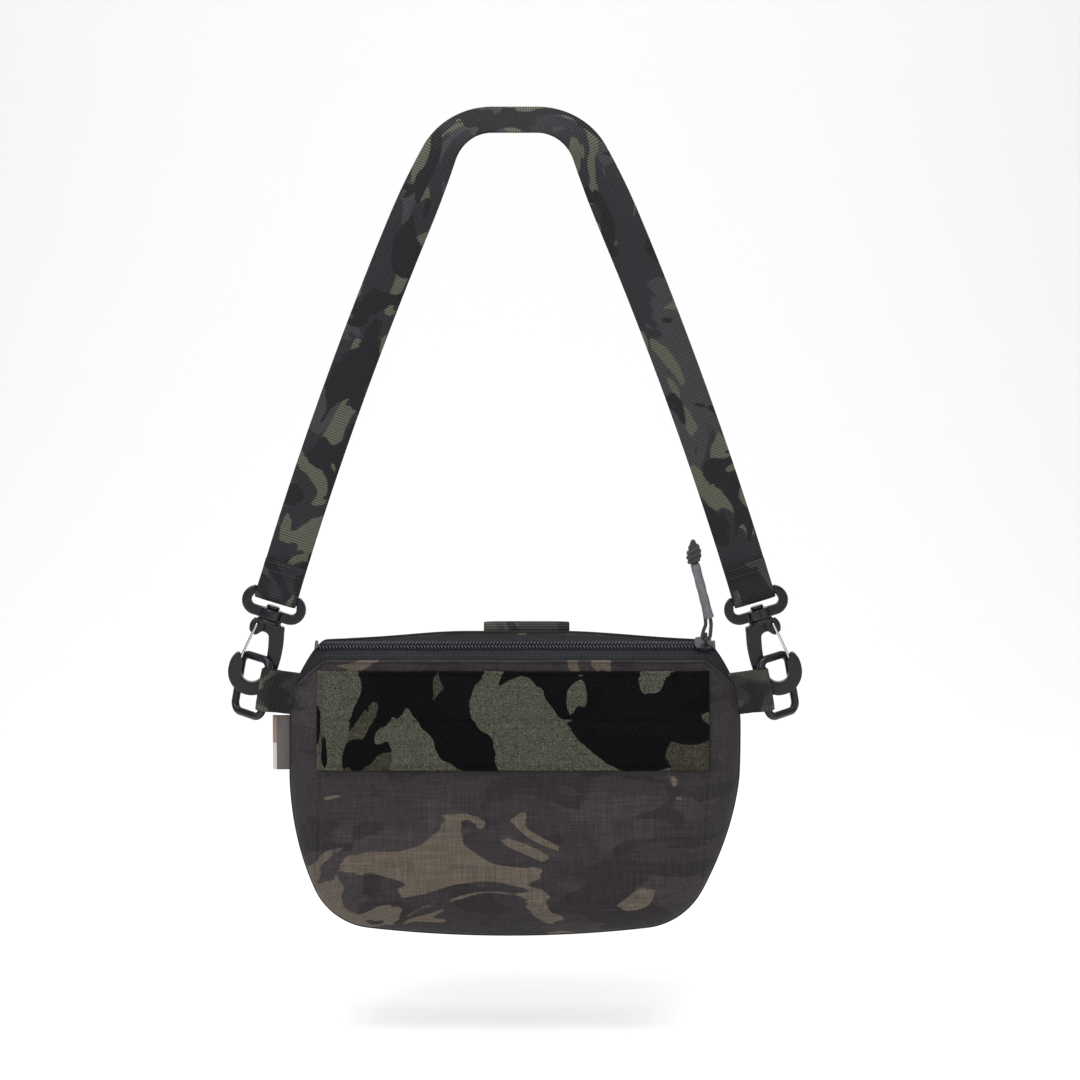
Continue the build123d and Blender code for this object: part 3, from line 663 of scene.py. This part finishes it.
def arc_through(first, middle, last, count):
    """Points on the circle through three points: its centre is where the two chords' square
    bisectors meet, and the angle runs evenly from the first to the last.
    """
    a, b, c = (np.array(p) for p in (first, middle, last))
    sides = np.array([b - a, c - b])
    centre = np.linalg.solve(sides, (sides * np.array([(a + b) / 2, (b + c) / 2])).sum(1))
    angles = np.unwrap([np.arctan2(*(p - centre)[::-1]) for p in (a, b, c)])
    angle = np.linspace(angles[0], angles[2], count)
    return centre + np.linalg.norm(a - centre) * np.stack([np.cos(angle), np.sin(angle)], -1)


def even(line, count):
    """A line of points again, with that many points evenly spaced along it."""
    run = run_along(line)
    at = np.linspace(0, run[-1], count)
    return np.stack([np.interp(at, run, line[:, k]) for k in range(line.shape[1])], -1)


def rounded_line(line, passes):
    """The line with each inner point drawn halfway to the middle of its neighbours, repeatedly."""
    line = line.copy()
    for _ in range(passes):
        line[1:-1] = 0.5 * line[1:-1] + 0.25 * (line[:-2] + line[2:])
    return line


low_side, low_corner = arc_through(*low_arc, 24), arc_through(*corner_arc, 14)[1:]
right_bottom = arc_through(*bottom_arc, 41)[1:21]
upper_side = even(np.array(shoulder)[:-1], 40)
half_seam = np.concatenate([upper_side, low_side, low_corner, right_bottom])
full_seam = np.concatenate([half_seam, [[0, -480.9]], half_seam[::-1] * [-1, 1]])
seam_xz = rounded_line(even(full_seam, 400), 6)
right_reach = seam_xz[: len(seam_xz) // 2]
seam_start = int(np.argmin(np.abs(right_reach[:, 1] - corner_z)))
full_within = 26.0  # from the seam to where the pouch is at its fullest


def fullness(x, z):
    """How full the pouch is, 0 at the seam to 1 inside: (1 - (1 - q) squared) to the power 0.6,
    where q is the distance to the seam over full_within, and no more than 1.
    """
    points = np.stack([x.ravel(), z.ravel()], -1)
    near = np.full(x.size, 1e9)
    starts, runs = seam_xz[:-1], np.diff(seam_xz, axis=0)
    for start, run in zip(np.array_split(starts, 30), np.array_split(runs, 30)):
        away = points[:, None] - start
        along = np.clip((away * run).sum(-1) / (run**2).sum(-1), 0, 1)
        near = np.minimum(near, ((away - along[..., None] * run) ** 2).sum(-1).min(1))
    share = np.clip(np.sqrt(near) / full_within, 0, 1).reshape(x.shape)
    return (1 - (1 - share) ** 2) ** 0.6


def folds(x, z, seed):
    """Soft wrinkles in mm: three crossing waves bent by a slower one, plus folds that fan out
    from the two top corners and fade within 60 mm.
    """
    bend = 9 * np.sin(z * 0.035 + seed) + 6 * np.sin(x * 0.027 - seed)
    waves = 0.34 * np.sin((x + bend) * 0.071 + z * 0.12 + seed)
    waves += 0.26 * np.sin(x * 0.043 - (z + bend) * 0.098 + 2 * seed)
    waves += 0.17 * np.sin((x - bend) * 0.15 + z * 0.045 + 3 * seed)
    for corner in (-1, 1):
        away_x, away_z = x - corner * 128, z + 336
        reach = np.hypot(away_x, away_z)
        waves += 0.8 * np.exp(-reach / 42) * np.sin(9 * np.arctan2(away_z, -corner * away_x) + seed)
    return waves


front_heights = (-500, -470, -445, -420, -390, -345, -316, -290)
front_profile = (front_heights, (17.5, 19.5, 21, 21.4, 20.6, 13.6, 9.0, 5.0))
back_heights = (-500, -470, -432, -385, -340, -300, -290)
back_profile = (back_heights, (17.5, 19.0, 21, 20.8, 16.8, 13.0, 12.5))
dart_x = 113.5


def face_depth(x, z, front, inset=0.0):
    """The y of the front or back face in mm: the seam's, less or plus the side view's depth at
    that height times the fullness, with wrinkles, and a groove on each dart of the front.
    """
    full = fullness(x, z)
    depth = np.interp(z, *(front_profile if front else back_profile)) - inset
    depth = depth * full + folds(x, z, 0.7 if front else 2.9) * full**2 * (inset == 0)
    if front:
        depth -= 0.9 * np.exp(-(((np.abs(x) - dart_x) / 1.1) ** 2)) * full
    return seam_y + (-depth if front else depth)


outline_x, outline_z = right_reach[:seam_start + 1, 0], right_reach[:seam_start + 1, 1]


def top_edge(x, front):
    """Height of a panel's top edge in mm: level, then falling away to the seam at the corners by
    a power of the distance past the bend, and always 1 mm inside the outline.
    """
    bend, fall, power = (110, 18.5, 1.3) if front else (112, 28.8, 1.5)
    level = -316.0 if front else -301.3 - 4.4 * settle((np.abs(x) - 26) / 80)
    past = np.clip((np.abs(x) - bend) / (corner_x - bend), 0, 1)
    limit = np.interp(np.abs(x), outline_x, outline_z - 1.0, left=0.0)
    return np.minimum(level - fall * past**power, limit)


def sway(z):
    """How far in mm the soft lower half hangs to the left: 4.2 times a smooth step down it."""
    return -4.2 * settle((-365 - z) / 110)


def across_top(count):
    """Places from one zip corner to the other, set closer towards the corners by a sine."""
    edge = 0.86 * np.pi / 2
    return corner_x * np.sin(np.linspace(-edge, edge, count)) / np.sin(edge)


def panel_grid(front, inset=0.0):
    """A panel's points: a blend of its four edges, top and bottom by the row's share, sides by
    the column's share, less the blend of the corners.
    """
    columns, rows = 210, 120
    top_x = across_top(columns)
    top = np.stack([top_x, top_edge(top_x, front)], -1)
    seam = seam_xz[seam_start : len(seam_xz) - seam_start]
    top[0], top[-1] = seam[-1], seam[0]
    low = int(len(seam) * 0.215)  # the seam's share that makes one side of the panel
    right_edge = even(seam[: low + 1], rows)
    left_edge = right_edge * [-1, 1]
    bottom = even(seam[low : len(seam) - low][::-1], columns)
    bottom[0], bottom[-1] = left_edge[-1], right_edge[-1]
    row = np.linspace(0, 1, rows)[:, None, None]
    column = np.linspace(0, 1, columns)[None, :, None]
    grid = (1 - row) * top[None] + row * bottom[None]
    grid += (1 - column) * left_edge[:, None] + column * right_edge[:, None]
    grid -= (1 - row) * ((1 - column) * top[0] + column * top[-1])
    grid -= row * ((1 - column) * bottom[0] + column * bottom[-1])
    x, z = grid[..., 0], grid[..., 1]
    if inset:
        x, z = x * (1 - inset / 110), -398 + (z + 398) * (1 - inset / 70)
    points = np.stack([x + sway(z), face_depth(x, z, front, inset), z], -1) * mm
    return points if front else points[:, ::-1]


# Plain weave: the sines of both ways of the cloth multiplied, with loose fibres over them.
# Its Shade is that height laid onto 0 to 1, for painted light on raised yarns and painted shade
# between them.
cloth_weave, weave_in, weave_out = new_group("plain_weave", ("Pitch", "Fuzz"), ("Height", "Shade"))
weave_place, weave_pitch, weave_fuzz = weave_in.outputs[:3]
weave_parts = put(cloth_weave, "SeparateXYZ", Vector=weave_place)
yarn_waves = []
for axis in (0, 2):
    yarns = calc(cloth_weave, "DIVIDE", weave_parts.outputs[axis], weave_pitch)
    yarn_waves.append(calc(cloth_weave, "SINE", calc(cloth_weave, "MULTIPLY", yarns, 2 * np.pi)))
weave_cross = calc(cloth_weave, "MULTIPLY", *yarn_waves)
fibres = calc(cloth_weave, "SUBTRACT", noise(cloth_weave, weave_place, 1150.0, 4.0, 0.65), 0.5)
weave_height = calc(cloth_weave, "MULTIPLY_ADD", fibres, weave_fuzz, weave_cross)
cloth_weave.links.new(weave_height, weave_out.inputs[0])
cloth_weave.links.new(spread(cloth_weave, weave_height, -1.45, 1.45), weave_out.inputs[1])


def printed_cloth(
    name, tones, pitch, contrast, bump_height,
    print_size=20.0, cover=0.55, softness=1.0, stretch=(1.0, 1.0, 1.0), turn=0.0,
    streaks=0.0, fuzz=1.8, gloss=0.25,
):
    """Printed cloth: three layers of shapes over a ground tone, the weave's painted light and shade
    over them, and streaks of tone from long thin slubs in the yarns both ways where streaks is
    more than 0.
    """
    ground, middle, light, dark = tones
    material, tree, shader = new_material(name, 0.88)
    place = put(tree, "TexCoord").outputs["Object"]
    placed = put(tree, "Mapping", Vector=place, Scale=stretch, Rotation=(0, turn, 0))
    masks = put(
        tree, "Group", {"node_tree": camouflage},
        Vector=placed.outputs[0], Size=print_size, Cover=cover, Softness=softness,
    )
    weave = put(
        tree, "Group", {"node_tree": cloth_weave}, Vector=place, Pitch=pitch, Fuzz=fuzz
    )
    colour = linear(ground)
    for mask, tone in (("Middle", middle), ("Dark", dark), ("Light", light)):
        colour = mix(tree, masks.outputs[mask], colour, linear(tone))
    # Painted light and shade of the weave: 1 - contrast times the colour in the hollows, up to 1 +
    # contrast on the raised yarns; the slubs below add streaks of tone.
    weave_shade_and_slubs = spread(tree, weave.outputs["Shade"], 0, 1, 1 - contrast, 1 + contrast)
    for squeeze in ((1.0, 1.0, 0.045), (0.045, 1.0, 1.0)):
        long_way = put(tree, "Mapping", Vector=place, Scale=squeeze)
        slubs = noise(tree, long_way.outputs[0], 1150.0, 2.0)
        slubs = spread(tree, slubs, 0.25, 0.75, 1 - streaks, 1 + streaks)
        weave_shade_and_slubs = calc(tree, "MULTIPLY", weave_shade_and_slubs, slubs)
    lit = mix(tree, 1.0, colour, weave_shade_and_slubs, "MULTIPLY")
    skin(tree, shader, lit, weave.outputs["Height"], 0.6, bump_height)
    shader.inputs["Specular IOR Level"].default_value = gloss
    return material


bag_cloth = printed_cloth(
    "bag_canvas", ((48, 44, 46), (55, 50, 51), (88, 80, 71), (41, 37, 40)), 0.62 * mm, 0.25, 0.16 * mm,
    print_size=17.0, stretch=(0.75, 1.0, 1.7), turn=0.15, streaks=0.27,
)


def thickened(piece, thickness):
    """Give a sheet its thickness behind its face."""
    wall = piece.modifiers.new("thickness", "SOLIDIFY")
    wall.thickness = thickness
    wall.offset = -1


front_panel = surface("front_panel_cloth", panel_grid(True), sheet=True)
back_panel = surface("back_panel_cloth", panel_grid(False), sheet=True)
for panel, node in ((front_panel, "front_panel"), (back_panel, "back_panel")):
    thickened(panel, 1.0 * mm)
    dress(panel, bag_cloth, "bag", "bag_fabric", node)

lining_tones = ((48, 48, 50), (50, 50, 52), (53, 53, 55), (44, 44, 46))
lining_cloth = printed_cloth("lining_nylon", lining_tones, 0.4 * mm, 0.15, 0.06 * mm)
lining_inset = 2.2
for name, front, nodes in (("lining_front", True, ["lining"]), ("lining_back", False, [])):
    lining = surface(name, panel_grid(front, lining_inset), sheet=True)
    thickened(lining, 0.4 * mm)
    dress(lining, lining_cloth, "bag", "lining_fabric", *nodes)

seam_run = seam_xz[seam_start - 6 : len(seam_xz) - seam_start + 6]
seam_run_x, seam_run_z = seam_run.T
level_y = np.zeros_like(seam_run_x)
seam_line = np.stack([seam_run_x + sway(seam_run_z), level_y + seam_y, seam_run_z], -1) * mm
inward = unit(np.stack([np.gradient(seam_run_z), level_y, -np.gradient(seam_run_x)], -1))
inward *= np.sign((inward[:, 0] * -seam_run_x).sum())
binding_tones = ((30, 30, 32), (31, 31, 33), (34, 34, 36), (28, 28, 30))
binding_cloth = printed_cloth("binding_tape", binding_tones, 0.5 * mm, 0.3, 0.1 * mm)
binding = band("seam_binding_tape", seam_line + inward * 4.5 * mm, inward, 8 * mm, 1.4 * mm)
dress(binding, binding_cloth, "bag", "binding_tape", "seam_binding")
piping = tube("seam_piping", seam_line + inward * 0.55 * mm, 1.25 * mm)
dress(piping, binding_cloth, "bag", "binding_tape")

dart_rows = []
forwards = np.array([0, -1, 0])
dart_z = np.linspace(-383, -452, 70)
for side in (-1, 1):
    for offset in (-1.7, 1.7):
        x = np.full(len(dart_z), side * dart_x + offset)
        line = np.stack([x + sway(dart_z), face_depth(x, dart_z, True), dart_z], -1) * mm
        dart_rows.append(stitch_rings(line, forwards, 3.2 * mm, 0.2 * mm))
dart_stitching = tubes("dart_stitching", np.concatenate(dart_rows))
dress(dart_stitching, dark_thread, "bag", "thread")

# ---- zip
# A nylon coil zip lies along the slope between the two panels. Its woven tapes narrow to the
# seam at both corners, each is sewn down beside its panel's edge, and the coils close in a V.

chain_end = 116.3
chain_middle = np.array([0, -2, -308])


def chain_line(x):
    """The middle of the zip: straight across, then round each corner to the seam, falling by
    the power 1.35 of the share of the way past the chain's end.
    """
    past = np.clip((np.abs(x) - chain_end) / (corner_x - chain_end), 0, 1)
    return chain_middle + np.stack([x, -2 * past, -26.5 * past**1.35], -1)


slope = np.array([0, 22, 16]) / np.hypot(22, 16)
slope_up = np.array([0, -slope[2], slope[1]])
tape_x = across_top(260)
tape_tones = ((27, 29, 32), (30, 31, 34), (32, 34, 37), (25, 27, 30))
zip_tape_cloth = printed_cloth(
    "zip_tape_twill", tape_tones, 0.9 * mm, 0.35, 0.16 * mm, print_size=40.0, streaks=0.2
)
stitch_rows = []
for name, front in (("zip_tape_front", True), ("zip_tape_back", False)):
    toward = -1 if front else 1
    edge_z = top_edge(tape_x, front)
    edge = np.stack([tape_x, face_depth(tape_x, edge_z, front) - 0.3 * toward, edge_z], -1)
    neck = chain_line(tape_x) + slope * 0.6 * toward
    neck[[0, -1]] = edge[[0, -1]] + [0, 0.2, 0.4]
    share = np.linspace(0, 1, 15)[:, None, None]
    bulge = 0.5 * np.sin(np.pi * share) * slope_up
    tape = (1 - share) * (edge - [0, 0, 1.2]) + share * neck + bulge
    if not front:
        tape = tape[::-1]
    tape_piece = surface(name + "_cloth", tape * mm, sheet=True)
    tape_piece.data.flip_normals()
    thickened(tape_piece, 0.6 * mm)
    dress(tape_piece, zip_tape_cloth, "bag", "zip_tape", name)
    hem = tube(name + "_hem", (edge + [0, 0.2 * toward, 0.2]) * mm, 0.95 * mm)
    if front:
        dress(hem, bag_cloth, "bag", "bag_fabric")
    else:
        dress(hem, binding_cloth, "bag", "binding_tape")
    for part in (0.24, 0.36) if front else (0.3,):
        line = ((1 - part) * edge + part * neck)[25:-25] + slope_up * 0.75
        stitch_rows.append(stitch_rings(line * mm, slope_up, 3.0 * mm, 0.2 * mm))
tape_stitching = tubes("tape_stitching", np.concatenate(stitch_rows))
dress(tape_stitching, dark_thread, "bag", "thread")

coil_nylon = moulded_material("coil_nylon", (36, 38, 42), 0.42, 0.0, 2600.0, 0.1)
tooth_pitch = 2.0
tooth_x = np.arange(-chain_end + 1, chain_end - 0.5, tooth_pitch)
share = np.linspace(0, 1, 7)
for name, toward in (("zip_coil_front", -1), ("zip_coil_back", 1)):
    reach = 0.1 + 3.1 * share
    rise = 0.35 + 0.85 * np.sin(np.pi * (0.15 + 0.8 * share))
    lean = 0.55 * (reach - 1.6)
    start_x = tooth_x + (0.5 * tooth_pitch if toward > 0 else 0)
    line = (
        chain_middle
        + (start_x[:, None] + lean)[..., None] * [1, 0, 0]
        + toward * reach[:, None] * slope
        + rise[:, None] * slope_up
    )
    ahead = unit(np.gradient(line, axis=1))
    side = unit(np.cross(ahead, slope_up))
    up = np.cross(side, ahead)
    angle = turns(6)[None, None, :, None]
    round_tooth = 0.72 * np.cos(angle) * side[:, :, None] + 0.5 * np.sin(angle) * up[:, :, None]
    size = (0.6 + 0.4 * np.sin(np.pi * (0.1 + 0.8 * share)))[None, :, None, None]
    coil = tubes(name + "_teeth", (line[:, :, None] + size * round_tooth) * mm)
    dress(coil, coil_nylon, "bag", "zip_coil", name)

zip_enamel = moulded_material("zip_enamel", (46, 48, 52), 0.34, 0.35, 2000.0, 0.06)
for node, body, passes in (
    ("zip_stop_left", "bag", 4),
    ("zip_stop_right", "bag", 4),
    ("zip_slider", "slider", 5),
    ("slider_bail", "slider", 6),
):
    finished(node, body, "zip_metal", zip_enamel, 0.2 * mm, passes)

# ---- loop panel
# A wide strip of loop pile, printed like the webbing, is sewn flat across the front with a line
# of stitches round its edge and one more across its middle.

panel_left, panel_right, panel_top, panel_low = -116.0, 114.0, -321.0, -378.5
edge_row, middle_row = 2.4, -349.5  # the edge stitches' inset and the middle row's height
column_x = np.linspace(panel_left, panel_right, 260)
row_z = np.linspace(panel_top, panel_low, 70)
pile_x, pile_z = np.meshgrid(column_x, row_z)
side_gap = np.minimum(pile_x - panel_left, panel_right - pile_x)
edge_gap = np.minimum(side_gap, np.minimum(panel_top - pile_z, pile_z - panel_low))
stitched = np.exp(-(((edge_gap - edge_row) / 0.9) ** 2))
stitched += np.exp(-(((pile_z - middle_row) / 0.9) ** 2))
chance = np.random.default_rng(7)
loft = 2.5 * (1 - np.exp(-(edge_gap + 0.45) / 0.5))
loft = loft + 0.3 * chance.random(pile_x.shape) - 0.75 * stitched
ragged = 0.35 * (chance.random(pile_x.shape) - 0.5)
pile_y = face_depth(pile_x, pile_z, True) - loft
pile = np.stack([pile_x + ragged + sway(pile_z), pile_y, pile_z + ragged[::-1]], -1)
loop_panel = surface("loop_panel_pile", pile * mm, sheet=True)
thickened(loop_panel, 1.1 * mm)
# Its weave contrast of 0.92 paints strong light and shade over the pile, from 0.08 to 1.92 times the
# colour, following the fibres' height.
loop_cloth = printed_cloth(
    "loop_pile", ((63, 62, 52), (12, 12, 14), (79, 79, 69), (9, 9, 11)), 1.5 * mm, 0.92, 1.3 * mm,
    print_size=12.5, cover=0.49, softness=0.25, stretch=(1.2, 1.0, 0.85), turn=0.5,
    streaks=0.15, fuzz=7.5, gloss=0.08,
)
dress(loop_panel, loop_cloth, "bag", "loop_pile", "loop_panel")
row_left, row_right = panel_left + edge_row, panel_right - edge_row
row_top, row_low = panel_top - edge_row, panel_low + edge_row
edge_x = np.array([row_left, row_right, row_right, row_left, row_left])
edge_z = np.array([row_top, row_top, row_low, row_low, row_top])
round_edge = even(np.stack([edge_x, edge_z], -1), 560)
across_middle = np.stack([np.linspace(row_left, row_right, 220), np.full(220, middle_row)], -1)
rows = []
for run in (round_edge, across_middle):
    x, z = run.T
    line = np.stack([x, face_depth(x, z, True) - 1.55, z], -1) * mm
    rows.append(stitch_rings(line, forwards, 2.9 * mm, 0.24 * mm))
panel_stitching = tubes("loop_panel_stitching", np.concatenate(rows))
dress(panel_stitching, thread_material("panel_thread", (30, 30, 32)), "bag", "thread")

# ---- side tabs
# A short length of the same webbing holds each ring: it is folded round the ring's inner side
# and sewn into the side seam.

tab_lean, tab_yaw = np.radians(10.0), np.radians(16.0)
tab_bar = np.array([147, -8.6, -333])  # the middle of the right ring's inner side
tab_wrap, tab_gap = 3.5, 0.86
tab_up = np.array([-np.sin(tab_lean), 0, np.cos(tab_lean)])
tab_level = np.cos(tab_yaw)
tab_in = np.array([-np.cos(tab_lean) * tab_level, np.sin(tab_yaw), -np.sin(tab_lean) * tab_level])
tab_through = np.cross(tab_up, tab_in)
away = np.linspace(24, 0, 40)
apart = tab_gap + (tab_wrap - tab_gap) * (1 - settle(away / 10))
half_turn = np.linspace(0, np.pi, 17)[1:-1, None]
leg, gap = tab_in * away[:, None], tab_through * apart[:, None]
round_ring = tab_wrap * (np.cos(half_turn) * tab_through - np.sin(half_turn) * tab_in)
tab_line = (tab_bar + np.concatenate([leg + gap, round_ring, (leg - gap)[::-1]])) * mm
for name, mirror in (("side_tab_left", [-1, 1, 1]), ("side_tab_right", [1, 1, 1])):
    tab = band(name + "_webbing", tab_line * mirror, tab_up * mirror, 25 * mm, 1.6 * mm)
    dress(tab, olive_cloth, "bag", "side_webbing", name)

# ---- rear belt loop
# A wide webbing loop stands off the back, for a belt. It is sewn into the back panel's top edge
# and shows a little above it.

hanger_width, hanger_half, hanger_rise = 51.0, 33.0, 4.5
hanger_bend, hanger_reach = 4.3, 5.1  # the bend's middle and outer radius
back_edge = np.array([6.8, 9, -300])
back_down = unit(np.array([0, 8, -85.0]))
back_out = unit(np.array([0, 85.0, 8]))
hanger_middle = back_edge + back_down * (hanger_half - hanger_rise) + back_out * hanger_reach
straight = hanger_half - hanger_reach
half_turn = np.linspace(-np.pi / 2, np.pi / 2, 16)[1:-1, None]
outer = back_down * np.linspace(-1, 1, 40)[:, None] * straight + back_out * hanger_bend
lower = back_down * (straight + hanger_bend * np.cos(half_turn))
lower = lower - back_out * hanger_bend * np.sin(half_turn)
hanger_line = (hanger_middle + np.concatenate([outer, lower, -outer, -lower, outer[:1]])) * mm
sideways = np.array([1.0, 0, 0])
hanger = band("rear_hanger_webbing", hanger_line, sideways, hanger_width * mm, 1.6 * mm)
dress(hanger, olive_cloth, "bag", "side_webbing", "rear_hanger")

# ---- side label
# A folded woven ribbon is caught in the left seam, blank on both faces, with a two-tone edge
# woven along its fold.

label_width, label_middle = 32.5, -365.25
label_seam, label_fold, label_gap = -132.8, 10.1, 0.42
leg = np.linspace(-3, label_fold, 24)
half_turn = np.linspace(-np.pi / 2, np.pi / 2, 9)[1:-1]
side_y = np.full(len(leg), label_gap)
reach = np.concatenate([leg, label_fold + label_gap * np.cos(half_turn), leg[::-1]])
label_y = np.concatenate([-side_y, label_gap * np.sin(half_turn), side_y]) - 2.0
label_y = label_y - 0.5 * np.sin(reach * 0.3)
label_line = np.stack([label_seam - reach, label_y, np.full(len(reach), label_middle)], -1) * mm
upright = np.array([0, 0, 1.0])
label = band("side_label_ribbon", label_line, upright, label_width * mm, 0.55 * mm)
ribbon, ribbon_tree, ribbon_shader = new_material("label_ribbon", 0.8)
ribbon_place = put(ribbon_tree, "TexCoord").outputs["Object"]
ribbon_weave = put(
    ribbon_tree, "Group", {"node_tree": cloth_weave},
    Vector=ribbon_place, Pitch=0.45 * mm, Fuzz=1.8,
)
ribbon_parts = put(ribbon_tree, "SeparateXYZ", Vector=ribbon_place)
at_fold = calc(ribbon_tree, "LESS_THAN", ribbon_parts.outputs[0], -141.2 * mm)
at_low = calc(ribbon_tree, "LESS_THAN", ribbon_parts.outputs[2], -365.5 * mm)
edge_tone = mix(ribbon_tree, at_low, linear((141, 117, 107)), linear((195, 184, 182)))
label_tone = mix(ribbon_tree, at_fold, linear((90, 85, 82)), edge_tone)
# Painted light and shade of the ribbon's weave: 0.8 to 1.15 times the colour, following its height.
ribbon_shade = spread(ribbon_tree, ribbon_weave.outputs["Shade"], 0, 1, 0.8, 1.15)
ribbon_lit = mix(ribbon_tree, 1.0, label_tone, ribbon_shade, "MULTIPLY")
skin(ribbon_tree, ribbon_shader, ribbon_lit, ribbon_weave.outputs["Height"], 0.4, 0.1 * mm)
dress(label, ribbon, "bag", "label_ribbon", "side_label")
